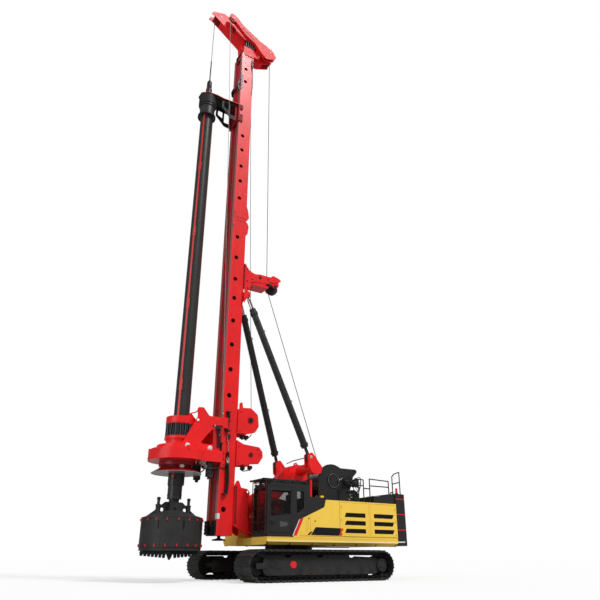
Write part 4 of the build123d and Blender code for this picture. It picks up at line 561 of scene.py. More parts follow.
def ropes():
    rope("main_rope_head", arc(FRONT_SHEAVE, 0, 114) + arc(REAR_SHEAVE, 114, 180), "mast")
    front = rope("main_rope_front", [(KELLY, 0, FRONT_SHEAVE[1]), (KELLY, 0, 23.0), (KELLY, 0, 18.95)],
                 None)
    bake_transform(front)
    rear = arc(BRACKET_SHEAVE, 0, -19, count=4)
    rope("main_rope_rear", [(REAR_SHEAVE[0] - REAR_SHEAVE[2] * GROOVE - ROPE_R, 0, REAR_SHEAVE[1])] + rear,
         "mast")
    drum_end = (-1.224, 0.55, 3.328)
    lead = rope("main_rope_winch", [rear[-1], Vector(rear[-1]).lerp(Vector(drum_end), 0.5), drum_end], None)
    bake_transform(lead)
    winding("main_rope_wound", "main_winch_drum", MAIN_DRUM, 0.55)
    winding("aux_rope_wound", "aux_winch_drum", AUX_DRUM, 0.33, THIN_ROPE_R)
    winding("feed_rope_wound", "feed_winch_drum", FEED_DRUM, 0.33, THIN_ROPE_R)
    rope("aux_rope_rear", [(1.716, 0, 5.40), (2.03, 0, 12.34), (2.435, 0, 23.2)], "mast", THIN_ROPE_R)
    over = arc(AUX_SHEAVE, 0, 116, NEAR_Y) + arc(REAR_THIN, 116, 200, NEAR_Y)
    rope("aux_rope_head", over, "mast", THIN_ROPE_R)
    start = (AUX_SHEAVE[0] + AUX_SHEAVE[2] * GROOVE + ROPE_R, NEAR_Y, AUX_SHEAVE[1])
    hung = rope("aux_rope_front", [start, (3.71, 0.47, 20.31), (SHACKLE_X, SHACKLE_Y, 5.50)], None,
                THIN_ROPE_R, "pale_rope")
    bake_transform(hung)
    for side, name in SIDES:
        rope("feed_rope_" + name, [(3.09, side * 0.12, 1.62), (3.09, side * 0.12, 23.2)], "mast", 0.012)
    rope_ends()


def rope_ends():
    """Sockets, blocks and the shackle at the ropes' ends."""
    socket = [(0, 0.10), (0.06, 0.118), (0.44, 0.112), (0.50, 0.070), (0.56, 0.050), (0.60, 0.024)]
    form = Form().turned((KELLY, 0, SWIVEL_Z - 0.06), UP, socket)
    form.piece("rope_socket", "swivel", "sleeve", "drum_steel", bevel=0.002)
    form = Form()
    for n in range(26):
        form.ring((KELLY, 0, SWIVEL_Z + 0.56 + 0.045 * n), UP, 0.012, 0.027, 0.0, 0.024, 12)
    form.piece("rope_rings", "swivel", "iron", "drum_steel")
    form = Form().box((3.135, 0.445, 5.335), (3.185, SHACKLE_Y + 0.012, 5.43))
    form.turned((SHACKLE_X, SHACKLE_Y - 0.03, 5.46), LEFT, [(0, 0.022), (0.06, 0.022)], 12)
    bow = ((-0.02, 5.40), (-0.026, 5.48), (0, 5.53), (0.026, 5.48), (0.02, 5.40))
    form.tube([(SHACKLE_X, SHACKLE_Y + dy, z) for dy, z in bow], 0.008)
    form.piece("aux_shackle", "drive", "steel")
    form = Form()
    for z in (1.66, 23.16):
        form.box((3.052, -0.2, z - 0.09), (3.07, 0.2, z + 0.09))
        for y in (-0.2, 0.0, 0.18):
            form.box((3.07, y, z - 0.06), (3.125, y + 0.02, z + 0.06))
        form.turned((3.088, -0.2, z), LEFT, [(0, 0.02), (0.4, 0.02)], 14)
    form.piece("feed_rope_blocks", "mast", "dark", bevel=0.003)


# Yellow side of the house

SIDE = 1.62                               # from the middle plane to the side's face
CLEAR = 0.0003                            # what keeps a thin plate off the face behind it
PROUD = 0.0022
STRIPE_RED = [(0.40, 1.975), (0.545, 1.94), (0.815, 1.405), (0.69, 1.405)]
STRIPE_WHITE = [(0.550, 1.94), (0.585, 1.925), (0.850, 1.405), (0.818, 1.405)]
SLASHES = ([(0.26, 1.435), (0.15, 1.435), (0.03, 1.545), (0.105, 1.545)],
           [(0.10, 1.435), (-0.015, 1.435), (-0.135, 1.685), (-0.085, 1.685)])
BARE_PLATE = [(-0.03, 1.435), (-1.10, 1.435), (-1.20, 1.685), (-0.105, 1.695)]
PLATE_END = [(-1.105, 1.435), (-1.2165, 1.435), (-1.2165, 1.685), (-1.205, 1.685)]
PLATE_TIP = [(-1.2235, 1.435), (-1.232, 1.435), (-1.300, 1.685), (-1.2235, 1.685)]
HOOD_DOORS = ((-2.51, -1.22, "front"), (-3.81, -2.57, "rear"))
LATCH = [(0, 0.022), (0.004, 0.022), (0.004, 0.014), (0.009, 0.012)]
DECK_REAR = -3.865
DECK_FRONT = 1.83


def flat_piece(name, side, outlines, material, body="house", proud=PROUD):
    """Thin plates on the side's face."""
    form = Form()
    for points in outlines:
        form.plate(points, side * (SIDE + CLEAR), side * (SIDE + proud))
    form.piece(name, body, material, smooth=False)


def strip(x0, x1, z0, z1):
    return [(x0, z0), (x1, z0), (x1, z1), (x0, z1)]


def side_seams(side):
    seams = [strip(-1.1620, -1.1520, 1.37, 2.60), strip(-2.5415, -2.5385, 2.577, 2.617),
             strip(-2.5415, -2.5385, 1.365, 1.413), strip(-1.2215, -1.2185, 2.577, 2.617)]
    if side > 0:
        seams.append(strip(0.118, 0.122, 1.45, 2.08))
        for x in (0.20, 0.245, 0.29):
            seams += [strip(x, x + 0.02, 1.56 + 0.032 * row, 1.566 + 0.032 * row) for row in range(12)]
    return seams + [strip(DECK_REAR, 0.55, 1.398, 1.408)]


def side_markings():
    for side, name in SIDES:
        flat_piece("stripe_red_" + name, side, [STRIPE_RED], "stripe_red")
        flat_piece("stripe_white_" + name, side, [STRIPE_WHITE], "white")
        flat_piece("slashes_" + name, side, SLASHES, "plate_black")
        flat_piece("bare_plate_" + name, side, [BARE_PLATE], "plate_black", proud=PROUD * 2)
        flat_piece("bare_plate_end_" + name, side, [PLATE_END], "stripe_red")
        flat_piece("bare_plate_tip_" + name, side, [PLATE_TIP], "stripe_red", "door_%s_front" % name)
        flat_piece("seams_" + name, side, side_seams(side), "seam", proud=0.0012)
        for x0, x1, place in HOOD_DOORS:
            body = "door_%s_%s" % (name, place)
            x = x0 + 0.07 if place == "front" else x1 - 0.07
            form = Form()
            for z in (1.62, 2.36):
                form.turned((x, side * SIDE, z), (0, side, 0), LATCH, 16)
            form.box((x - 0.02, side * SIDE, 1.93), (x + 0.02, side * (SIDE + 0.004), 2.03))
            form.box((x - 0.012, side * SIDE, 1.95), (x + 0.012, side * (SIDE + 0.012), 1.995))
            form.piece("door_latches_%s_%s" % (name, place), body, "yellow", bevel=0.0015)
            # Foam and mesh behind the louvres
            form = Form()
            for z in (1.53, 1.80, 2.07):
                form.box((x0 + 0.06, side * (SIDE - 0.057), z - 0.02),
                         (x1 - 0.06, side * (SIDE - 0.046), z + 0.17))
            form.piece("louvre_mesh_%s_%s" % (name, place), body, "mesh", smooth=False)
    form = Form()
    for x, z in ((-0.08, 1.89), (0.19, 1.97)):
        form.turned((x, SIDE, z), LEFT, [(0, 0.026), (0.004, 0.026), (0.004, 0.016), (0.012, 0.014)], 18)
    form.piece("panel_latches", "house", "seam", bevel=0.002)


def deck_edge():
    """The rolled lip of the deck, a painted highlight line along its side, its joints and the pale rail
    under it.
    """
    slant = [(SIDE - 0.040, 1.184), (SIDE - 0.037, 1.181), (SIDE - 0.094, 1.124), (SIDE - 0.098, 1.127)]
    for side, name in SIDES:
        face = side * SIDE
        form = Form()
        for z in (1.352, 1.214):
            form.tube([(DECK_REAR, face, z), (DECK_FRONT, face, z)], 0.008)
        form.piece("deck_lip_" + name, "house", "yellow")
        # Painted highlight: a thin cream strip on the deck's side stands for the lit edge of its lip
        form = Form().box((-3.86, face, 1.218), (DECK_FRONT, face + side * 0.0015, 1.258))
        form.piece("deck_line_" + name, "house", "cream", smooth=False)
        form = Form()
        for x in (1.80, 0.92, 0.0, -0.94, -1.92, -2.83, -3.80):
            form.solid([[(x + dx, side * y, z) for y, z in slant] for dx in (-0.010, 0.010)])
            form.box((x - 0.05, side * (SIDE - 0.16), 1.108), (x + 0.05, side * (SIDE - 0.105), 1.128))
        form.piece("deck_joints_" + name, "house", "seam", smooth=False)
        form = Form().box((-3.86, side * (SIDE - 0.19), 1.098), (-0.9, side * (SIDE - 0.115), 1.119))
        form.piece("deck_under_rail_" + name, "house", "grey", bevel=0.003)
    form = Form()
    for y in (-1.35, -0.8, 0.8, 1.35):
        form.box((1.845, y - 0.10, 1.17), (1.856, y + 0.10, 1.27))
        form.bolts([(1.856, y - 0.07, 1.22), (1.856, y + 0.07, 1.22)], (1, 0, 0), 0.012)
    form.piece("deck_front_lugs", "house", "yellow", bevel=0.003)


TAIL = -4.32                              # the counterweight's rear face
WEIGHT_FRONT = -3.87


def counterweight_dress():
    for z, name in ((2.81, "high"), (2.25, "middle"), (1.69, "low")):
        form = Form()
        for side in BOTH:
            form.box((TAIL + 0.02, side * (SIDE + CLEAR), z - 0.013),
                     (WEIGHT_FRONT - 0.01, side * (SIDE + 0.003), z + 0.013))
        form.box((TAIL - 0.003, -SIDE + 0.02, z - 0.013), (TAIL - CLEAR, SIDE - 0.02, z + 0.013))
        form.piece("weight_stripe_" + name, "house", "stripe_red", smooth=False)
    form = Form()
    for side in BOTH:
        form.box((-4.22, side * (SIDE + CLEAR), 1.245),
                 (WEIGHT_FRONT - 0.004, side * (SIDE + 0.003), 1.285))
    form.piece("weight_white_line", "house", "white", smooth=False)
    # The joints between the cast blocks, their bolts and lifting eyes
    form = Form()
    for z in (1.55, 2.12, 2.68):
        for side in BOTH:
            form.box((TAIL + 0.02, side * (SIDE - 0.002), z - 0.004),
                     (WEIGHT_FRONT, side * (SIDE + 0.0012), z + 0.004))
        form.box((TAIL - 0.0012, -SIDE, z - 0.004), (TAIL + 0.002, SIDE, z + 0.004))
    form.piece("weight_joints", "house", "seam", smooth=False)
    form = Form()
    eye = ((-0.09, 2.99), (-0.085, 3.06), (-0.05, 3.10), (0.05, 3.10), (0.085, 3.06), (0.09, 2.99))
    for y in (-1.15, 1.15):
        form.tube([(-4.10, y + dy, z) for dy, z in eye], 0.022, 12)
        form.bolts([(TAIL, y, z) for z in (1.35, 1.95, 2.50)], (-1, 0, 0), 0.035, 0.006)
    form.bolts([(x, y, 3.0) for x in (-4.02, -4.17) for y in (0.4, -0.4)], UP, 0.04, 0.02)
    form.piece("weight_fittings", "house", "dark", bevel=0.003)
    for side, name in SIDES:
        y = side * 1.34
        form = Form().box((TAIL - 0.006, y - 0.16, 1.74), (TAIL + 0.002, y + 0.16, 1.84))
        form.piece("tail_lamp_frame_" + name, "house", "rubber", bevel=0.002)
        form = Form().box((TAIL - 0.009, y - 0.15, 1.75), (TAIL - 0.005, y + 0.02, 1.83))
        form.piece("tail_lamp_red_" + name, "house", "beacon", bevel=0.002)
        form = Form().box((TAIL - 0.009, y + 0.03, 1.75), (TAIL - 0.005, y + 0.15, 1.83))
        form.piece("tail_lamp_amber_" + name, "house", "warm", bevel=0.002)
    form = Form().turned((-4.095, 1.45, 3.0), UP, [(0, 0.07), (0.03, 0.07), (0.04, 0.055), (0.055, 0.055)])
    form.piece("beacon_base", "house", "rubber", bevel=0.002)


# Roof and winch

ROOF = 2.62
GRILLE_FALL = 0.085 / 0.45                # how the sloping covers fall to the front
WINCH_SIDE = 0.64                         # outer face of the winch's side plates


def roof_dress():
    """Walkway plates, grilles, the air cleaner and small fittings on the roof."""
    form = Form()
    for y0, y1 in ((0.74, 1.56), (-1.56, -0.74)):
        for x0, x1 in ((-2.80, -2.22), (-2.20, -1.72), (-1.70, -1.22)):
            form.box((x0, y0, ROOF + CLEAR), (x1, y1, ROOF + 0.006))
            for n in range(int((x1 - x0) / 0.06)):
                x = x0 + 0.02 + n * 0.06
                form.box((x, y0 + 0.03, ROOF + 0.005), (x + 0.016, y1 - 0.03, ROOF + 0.010))
    form.piece("roof_walkway", "house", "dark", smooth=False)
    form = Form()
    for x0, z0 in ((-3.72, 2.979), (-3.24, 2.867)):
        for y in (-1.0, 0.0, 1.0):
            for n in range(9):
                x = x0 + n * 0.045
                z = z0 - (x - x0) * GRILLE_FALL
                form.box((x, y - 0.4, z - 0.01), (x + 0.02, y + 0.4, z + 0.018))
    form.piece("roof_grilles", "house", "dark", smooth=False)
    cleaner = [(0, 0.13), (0.22, 0.13), (0.24, 0.19), (0.34, 0.19), (0.40, 0.15), (0.42, 0.05)]
    form = Form().turned((-1.95, -1.12, ROOF), UP, cleaner, 28)
    for n in range(16):
        x, y = -1.95 + 0.19 * cos(2 * pi * n / 16), -1.12 + 0.19 * sin(2 * pi * n / 16)
        form.box((x - 0.006, y - 0.006, ROOF + 0.25), (x + 0.006, y + 0.006, ROOF + 0.33))
    form.piece("air_cleaner", "house", "dark", bevel=0.003)
    Form().box((-3.35, 0.9, 2.875), (-3.0, 1.35, 2.905)).piece("roof_hatch", "house", "grey", bevel=0.006)
    form = Form().box((-0.49, 1.50, 2.6895), (-0.37, 1.585, 2.755))
    form.piece("hood_stop", "house", "yellow", bevel=0.006)
    handle = ((-0.26, 2.688), (-0.25, 2.72), (-0.21, 2.735), (-0.17, 2.72), (-0.16, 2.688))
    form = Form().hoses(0.009, [(x, 1.54, z) for x, z in handle])
    form.piece("cover_handle", "house", "steel", "rod_chrome")
    # Feet of the rails
    form = Form()
    for x, y, z in ((-2.70, 1.5, ROOF), (-2.40, 1.5, ROOF), (-2.16, 1.5, ROOF), (-2.70, -1.5, ROOF),
                    (-3.90, 1.45, 3.0), (-4.285, 1.45, 3.0)):
        form.turned((x, y, z + CLEAR), UP, [(0, 0.05), (0.010, 0.05), (0.012, 0.030), (0.03, 0.028)], 20)
    form.piece("rail_feet", "house", "dark", bevel=0.0015)
    form = Form().ring((-3.10, -0.85, 3.10), UP, 0.108, 0.122, 0, 0.035)
    form.ring((-3.10, -0.85, 2.99), UP, 0.108, 0.128, 0, 0.02)
    form.piece("exhaust_clamp", "house", "steel", "dark_paint")


# Places and directions of the winch's ports, and the hoses from them
WINCH_PORTS = (((-1.88, 0.66, 3.44), (0.6, 0.5, 0.6)), ((-1.96, 0.66, 3.50), (-0.3, 0.6, 0.7)),
               ((-2.42, 0.72, 3.34), (-0.6, 0.5, 0.5)), ((-2.44, 0.72, 3.46), (-0.7, 0.4, 0.4)),
               ((-2.66, 0.80, 3.56), (-0.5, 0.4, 0.8)), ((-2.74, 0.76, 3.42), (-0.8, 0.5, 0.1)),
               ((-2.72, 0.74, 3.28), (-0.8, 0.3, -0.3)), ((-2.60, 0.80, 3.24), (-0.1, 0.4, -0.9)),
               ((-2.38, 0.70, 2.88), (-0.3, 0.8, -0.4)), ((-2.30, 0.70, 2.80), (-0.3, 0.8, -0.6)),
               ((-2.34, 0.70, 2.94), (-0.2, 0.9, 0.3)))
WINCH_HOSES = (
    [(-1.83, 0.70, 3.49), (-1.80, 0.75, 3.40), (-1.86, 0.76, 3.20), (-2.0, 0.74, 3.10)],
    [(-1.99, 0.71, 3.56), (-2.06, 0.76, 3.62), (-2.20, 0.78, 3.64), (-2.34, 0.76, 3.58),
     (-2.42, 0.74, 3.50)],
    [(-2.70, 0.83, 3.62), (-2.80, 0.84, 3.58), (-2.82, 0.80, 3.38), (-2.76, 0.76, 3.14),
     (-2.62, 0.73, 3.05)],
    [(-2.80, 0.78, 3.43), (-2.84, 0.76, 3.30), (-2.74, 0.73, 3.02), (-2.55, 0.72, 2.92)],
    [(-2.61, 0.84, 3.17), (-2.60, 0.84, 3.0), (-2.50, 0.80, 2.86), (-2.36, 0.76, 2.83)],
    [(-2.46, 0.76, 3.30), (-2.50, 0.78, 3.12), (-2.44, 0.78, 2.98), (-2.36, 0.77, 2.95)],
    [(-2.31, 0.77, 2.77), (-2.25, 0.80, 2.71), (-2.05, 0.80, 2.66), (-1.80, 0.76, 2.66),
     (-1.55, 0.70, 2.66)])
WINCH_MOTOR = (-2.56, 0.81, 3.40)
WINCH_PUMP = (-2.18, 0.78, 3.44)


def winch_dress():
    x, z, _ = MAIN_DRUM
    # Painted highlight: a pale zinc ring stands for the lit edge of the drum's side disc
    form = Form().ring((x, 0.67, z), LEFT, 0.253, 0.259, 0, 0.006, 48)
    form.piece("winch_ring", "house", "zinc", "dark_paint")
    form = Form().ring_of_bolts((x, 0.67, z), LEFT, 0.215, 14, 0.013)
    form.ring_of_bolts((x, -WINCH_SIDE, z), RIGHT, 0.215, 14, 0.013)
    form.side_bolts(WINCH_SIDE, ((-1.33, 3.985), (-2.21, 3.90), (-2.62, 3.88), (-1.0, 3.60), (-0.975, 3.0)),
                    0.018)
    form.ring_of_bolts(WINCH_MOTOR, LEFT, 0.12, 8, 0.012).ring_of_bolts(WINCH_PUMP, LEFT, 0.095, 8, 0.011)
    form.piece("winch_bolts", "house", "black")
    # Motor caps, ports and valves
    form = Form().turned(WINCH_MOTOR, LEFT, [(0, 0.085), (0.03, 0.085), (0.035, 0.05), (0.05, 0.045)], 28)
    form.turned(WINCH_PUMP, LEFT, [(0, 0.065), (0.03, 0.065), (0.035, 0.04), (0.045, 0.035)], 28)
    form.boxes(((-2.72, 0.70, 3.50), (-2.60, 0.80, 3.60)), ((-2.76, 0.66, 3.24), (-2.66, 0.76, 3.36)),
               ((-2.36, 0.66, 3.05), (-2.22, 0.74, 3.12)))
    form.piece("winch_valves", "house", "iron", "engine_iron", bevel=0.004)
    form = Form()
    for place, axis in WINCH_PORTS:
        form.turned(place, axis, [(0, 0.026), (0.035, 0.026), (0.035, 0.020), (0.075, 0.020),
                                  (0.08, 0.013)], 12)
    form.piece("winch_fittings", "house", "zinc")
    Form().hoses(0.016, *WINCH_HOSES).piece("winch_hoses", "house", "hose")


# Cab

def pane_seal(form, outline, y=None, x=None, r=0.008):
    """A rubber bead round a pane, in a plane of one y or one x."""
    points = [(a, y, b) if x is None else (x, a, b) for a, b in outline]
    for start, end in zip(points, points[1:] + points[:1]):
        form.tube([start, end], r, 6)


def cab_dress():
    form = Form()
    pane_seal(form, [(0.935, 2.09), (0.935, 2.84), (1.725, 2.83), (1.725, 2.0)], y=1.617)
    pane_seal(form, [(0.884, 1.50), (0.884, 2.972), (1.770, 2.972), (1.770, 1.50)], y=1.6165, r=0.0065)
    form.piece("door_seals", "cab_entry", "rubber")
    form = Form()
    pane_seal(form, [(0.38, 2.30), (0.38, 2.85), (0.68, 2.84), (0.68, 2.11)], y=1.617)
    pane_seal(form, [(0.42, 2.0), (0.42, 2.9), (1.64, 2.9), (1.72, 2.8), (1.72, 1.76), (0.70, 1.76)],
              y=0.623)
    pane_seal(form, [(0.71, 1.56), (0.71, 2.90), (1.53, 2.90), (1.53, 1.56)], x=1.847)
    pane_seal(form, [(0.71, 2.68), (0.71, 2.98), (1.53, 2.98), (1.53, 2.68)], x=0.133)
    form.piece("cab_seals", "house", "rubber")
    # Guard frame over the roof, with a slatted visor in front
    form = Form()
    for y in (0.66, 1.60):
        form.box((0.16, y - 0.02, 3.155), (2.04, y + 0.02, 3.215))
        for x in (0.24, 0.95, 1.62):
            form.box((x - 0.03, y - 0.018, 3.06), (x + 0.03, y + 0.018, 3.160))
    for x in (0.18, 0.66, 1.14, 1.62, 2.02):
        form.box((x - 0.02, 0.64, 3.160), (x + 0.02, 1.62, 3.205))
    for n in range(5):
        form.box((1.70 + 0.065 * n, 0.66, 3.165), (1.73 + 0.065 * n, 1.60, 3.200))
    for y in (0.80, 1.02, 1.24, 1.46):
        form.box((0.18, y - 0.012, 3.170), (1.62, y + 0.012, 3.198))
    form.piece("roof_guard", "house", "dark", bevel=0.004)
    # Bare panel on the foot of the door, and its handle
    form = Form().plate([(1.36, 1.85), (1.05, 1.81), (1.06, 1.71), (1.35, 1.66)], 1.6203, 1.623)
    form.piece("door_kick_panel", "cab_entry", "kick", smooth=False)
    bow = ((1.56, 1.64), (1.57, 1.668), (1.63, 1.674), (1.69, 1.668), (1.70, 1.64))
    form = Form().hoses(0.009, [(x, y, 1.817) for x, y in bow])
    form.turned((1.735, 1.62, 1.86), LEFT, [(0, 0.018), (0.006, 0.018), (0.007, 0.010), (0.012, 0.009)], 16)
    form.piece("door_handle", "cab_entry", "rubber")
    form = Form().turned((1.852, 1.05, 1.53), (1, 0, 0), [(0, 0.03), (0.012, 0.03), (0.02, 0.012)], 16)
    form.tube([(1.866, 1.05, 1.53), (1.872, 1.12, 1.95), (1.866, 1.14, 2.10)], 0.007)
    form.box((1.852, 1.13, 1.78), (1.862, 1.15, 2.44))
    form.piece("wiper", "house", "rubber")
    inside_cab()
    for y, name in ((0.80, "right"), (1.44, "left")):
        lamp("cab_lamp_" + name, (1.885, y, 3.02), (1, 0, -0.35), 0.055)


def inside_cab():
    """Headrest, armrests with levers, screen, pedals, mat and head lining."""
    rest = ((1.02, 2.56), (1.28, 2.56), (1.26, 2.76), (1.04, 2.76))
    form = Form().solid([[(x, y, z) for y, z in rest] for x in (0.70, 0.78)])
    for y in (0.86, 1.42):
        form.box((0.82, y - 0.03, 2.06), (1.22, y + 0.04, 2.12))
    form.piece("seat_rests", "house", "seat", bevel=0.02)
    form = Form()
    for y in (0.865, 1.425):
        form.tube([(1.18, y, 2.11), (1.20, y, 2.20), (1.19, y, 2.26)], [0.012, 0.012, 0.024], 12)
        form.tube([(1.19, y, 2.25), (1.185, y, 2.33)], [0.026, 0.020], 12)
    for y in (1.10, 1.24):
        form.tube([(1.66, y, 1.41), (1.62, y, 1.62), (1.60, y, 1.66)], 0.010)
        form.box((1.58, y - 0.04, 1.52), (1.66, y + 0.04, 1.545))
    form.piece("cab_levers", "house", "rubber", bevel=0.003)
    form = Form().box((1.38, 0.72, 2.36), (1.41, 1.02, 2.56))
    form.tube([(1.48, 0.87, 2.32), (1.41, 0.87, 2.44)], 0.015)
    form.piece("cab_screen", "house", "rubber", bevel=0.006)
    form = Form().boxes(((0.20, 0.68, 1.4075), (1.79, 1.56, 1.415)),
                        ((0.20, 0.68, 3.030), (1.66, 1.56, 3.040)))
    form.piece("cab_lining", "house", "lining", smooth=False)


def lamp(name, place, axis, r):
    """A round work lamp on the cab: black bowl, lens and bracket."""
    bowl = [(-0.06, r * 0.5), (-0.045, r * 0.85), (0.0, r), (0.012, r), (0.012, r * 0.88)]
    form = Form().turned(place, axis, bowl, 20)
    form.tube([place, (place[0] - 0.02, place[1], place[2] + r * 1.1)], 0.008)
    form.piece(name, "house", "rubber")
    lens = [(0.005, r * 0.86), (0.014, r * 0.84), (0.019, r * 0.5), (0.020, 0.0)]
    Form().turned(place, axis, lens, 20).piece(name + "_lens", "house", "lens")


# Linkage and cylinders

# Ends of the hinge pins: x, z, how far out and radius, by body
PIN_ENDS = {"house": ((0.40, 1.64, 0.334, 0.052), (-0.75, 2.38, 0.334, 0.052)),
            "boom": ((1.15, 2.14, 0.535, 0.040),),
            "mast_support": ((2.05, 1.89, 0.285, 0.052), (0.90, 2.63, 0.285, 0.052),
                             (-0.15, 4.13, 1.30, 0.062)),
            "mast": ((2.12, 2.35, 0.42, 0.100), (1.90, 4.15, 0.412, 0.055), (2.27, 10.47, 0.465, 0.042))}
BOOM_HOSES = ([(0.45, 0.20, 1.50), (0.80, 0.22, 1.56), (1.20, 0.24, 1.62), (1.70, 0.22, 1.74)],
              [(0.45, 0.26, 1.50), (0.80, 0.28, 1.52), (1.20, 0.29, 1.58), (1.70, 0.27, 1.70)])
SUPPORT_HOSE = ((1.80, 1.95), (1.86, 2.14), (1.62, 2.62), (1.24, 3.03), (0.90, 3.27), (0.80, 3.22))


def pin_caps():
    """Keeper plates with bolts on the ends of the hinge pins."""
    for body, rows in PIN_ENDS.items():
        form = Form()
        for x, z, out, r in rows:
            for side in BOTH:
                form.turned((x, side * out, z), (0, side, 0),
                            [(0, r * 0.9), (0.008, r * 0.9), (0.010, r * 0.8)])
                form.ring_of_bolts((x, side * (out + 0.010), z), (0, side, 0), r * 0.55, 3, 0.010)
        form.piece("pin_caps_" + body, body, "red" if body == "mast" else "pin", "red_paint")


def linkage_dress():
    form = Form().tube([(0.104, 0.0, 4.03), (0.104, 0.05, 4.03), (0.05, 0.30, 4.09), (-0.12, 0.98, 4.14)],
                       0.018)
    form.piece("support_stay", "mast_support", "iron")
    gusset = [(0.55, 3.22), (-0.02, 3.74), (-0.18, 3.98), (-0.58, 3.92), (-0.64, 3.46), (-0.02, 3.18)]
    Form().plate(gusset, -0.33, 0.33).piece("support_gusset", "mast_support", "red", bevel=0.01)
    form = Form().boxes(((-0.63, 0.57, 2.6905), (-0.55, 0.63, 3.41)),
                        ((-0.66, 0.54, 2.6905), (-0.50, 0.66, 2.71)))
    form.piece("rope_guard_post", "house", "red", bevel=0.006)
    form = Form()
    for side in BOTH:
        form.hoses(0.014, *([(x, side * (y + 0.03), z + 0.10) for x, y, z in path] for path in BOOM_HOSES))
    form.piece("boom_hoses", "boom", "hose")
    form = Form().hoses(0.015, *([(x, y, z) for x, z in SUPPORT_HOSE] for y in (-0.10, -0.05, 0.05, 0.10)))
    form.piece("support_hoses", "mast_support", "hose")


def cylinder_dress():
    """Feed pipes, clamps and gland nuts of the mast cylinders."""
    pipes = Form()
    bands = Form()
    for side in BOTH:
        foot = Vector((-0.15, side * 1.15, 4.13))
        eye = Vector((2.27, side * 0.31, 10.47))
        along = (eye - foot).normalized()
        across = Vector((0, side, 0)).cross(along).normalized()
        out = along.cross(across).normalized()
        barrel_end = (eye - foot).length - 0.19 - 0.45
        lifts = [across * cos(turn) + out * sin(turn) for turn in (0.5, 1.1)]
        for lift in lifts:
            places = ((0.46, 0.125), (0.50, 0.165), (barrel_end - 0.40, 0.165), (barrel_end - 0.34, 0.120))
            pipes.tube([foot + along * reach + lift * r for reach, r in places], 0.014)
        for n in range(7):
            at = foot + along * (0.9 + n * (barrel_end - 1.5) / 6)
            bands.ring(at, along, 0.129, 0.136, 0, 0.035)
            for lift in lifts:
                bands.turned(at + lift * 0.165 - along * 0.002, along, [(0, 0.024), (0.039, 0.024)], 12)
        for reach in (2.2, 5.2):
            bands.ring(foot + along * reach - side * across * 0.155, LEFT, 0.028, 0.046, -0.011, 0.011, 16)
        bands.ring(foot + along * (barrel_end - 0.005), along, 0.0725, 0.112, 0, 0.035)
        bands.ring_of_bolts(foot + along * (barrel_end + 0.002), along, 0.122, 12, 0.010)
    pipes.piece("mast_cylinder_pipes", "mast_cylinders", "iron")
    bands.piece("mast_cylinder_bands", "mast_cylinders", "dark")


# Mast

HOLE_X = 2.860
HOLE_R = 0.088
HOLES = (2.24, 6.24, 7.25, 8.25, 9.25, 10.23, 11.08, 12.07, 13.05, 15.0, 15.9, 16.7, 17.6, 18.4, 21.7, 22.5)
BOX_SIDE = 0.340                          # the mast's side faces
RAIL_SIDE = 0.420                         # the outer edges of its rails
SUMP = [(0, 0.035), (0.04, 0.035), (0.045, 0.02)]
MAST_MOTOR = [(0, 0.16), (0.05, 0.16), (0.06, 0.12), (0.20, 0.12), (0.22, 0.08), (0.30, 0.08)]
MAST_WINCH_HOSES = (
    [(2.20, 0.20, 4.72), (2.17, 0.26, 4.71), (2.02, 0.30, 4.75), (1.90, 0.30, 4.84), (1.84, 0.28, 4.93)],
    [(2.12, 0.20, 3.60), (2.08, 0.24, 3.58), (1.92, 0.25, 3.61), (1.82, 0.20, 3.64)],
    [(1.96, -0.71, 5.40), (2.10, -0.78, 5.30), (2.42, -0.62, 5.05), (2.47, -0.50, 4.40),
     (2.47, -0.46, 3.3)],
    [(1.90, -0.71, 4.15), (2.06, -0.78, 4.05), (2.36, -0.62, 3.80), (2.47, -0.52, 3.3), (2.47, -0.46, 3.0)])


def mast_dress():
    form = Form()
    for z in HOLES:
        for side in BOTH:
            form.ring((HOLE_X, side * BOX_SIDE, z), (0, side, 0), HOLE_R - 0.006, HOLE_R + 0.004, -0.12,
                      0.004, 28)
    form.piece("mast_hole_rims", "mast", "deep_red")
    # The folding joint's splice bolts, the welded seams and the joints of the rails
    splices = [(2.52 + 0.08 * n, z) for z in (13.86, 14.04) for n in range(6)]
    form = Form().side_bolts(BOX_SIDE, splices + [(2.52 + 0.09 * n, 23.30) for n in range(5)], 0.015)
    form.piece("mast_joint_bolts", "mast", "deep_red")
    form = Form()
    for z in (13.945, 23.40):
        form.box((2.476, -BOX_SIDE - 0.002, z), (2.49, BOX_SIDE + 0.002, z + 0.01))
        for side in BOTH:
            form.box((2.48, side * BOX_SIDE, z), (3.03, side * (BOX_SIDE + 0.002), z + 0.01))
    form.piece("mast_seams", "mast", "deep_red", smooth=False)
    form = Form()
    for side in BOTH:
        for z in (13.42, 13.86, 14.06):
            form.plate([(3.035, z), (3.128, z + 0.10), (3.128, z + 0.15), (3.035, z + 0.05)],
                       side * (RAIL_SIDE + 0.0002), side * (RAIL_SIDE + 0.001))
    form.piece("rail_joints", "mast", "seam", "red_paint", smooth=False)
    # Stiffening strips along the side faces, and the channel in front
    form = Form()
    for z0, z1 in ((1.5, 3.0), (6.0, 10.6), (12.0, 13.8), (14.1, 23.2)):
        for side in BOTH:
            form.box((3.006, side * BOX_SIDE, z0), (3.029, side * (BOX_SIDE + 0.0035), z1))
    form.piece("mast_edge_strips", "mast", "deep_red", smooth=False)
    form = Form()
    for side in BOTH:
        form.box((3.0502, side * 0.205, 1.95), (3.075, side * 0.248, 23.30))
    form.box((3.0502, -0.03, 1.95), (3.062, 0.03, 23.30))
    form.piece("mast_front_channel", "mast", "channel", smooth=False)
    foot_of_mast()
    mast_winches()
    hose_bundle()
    top_of_mast()


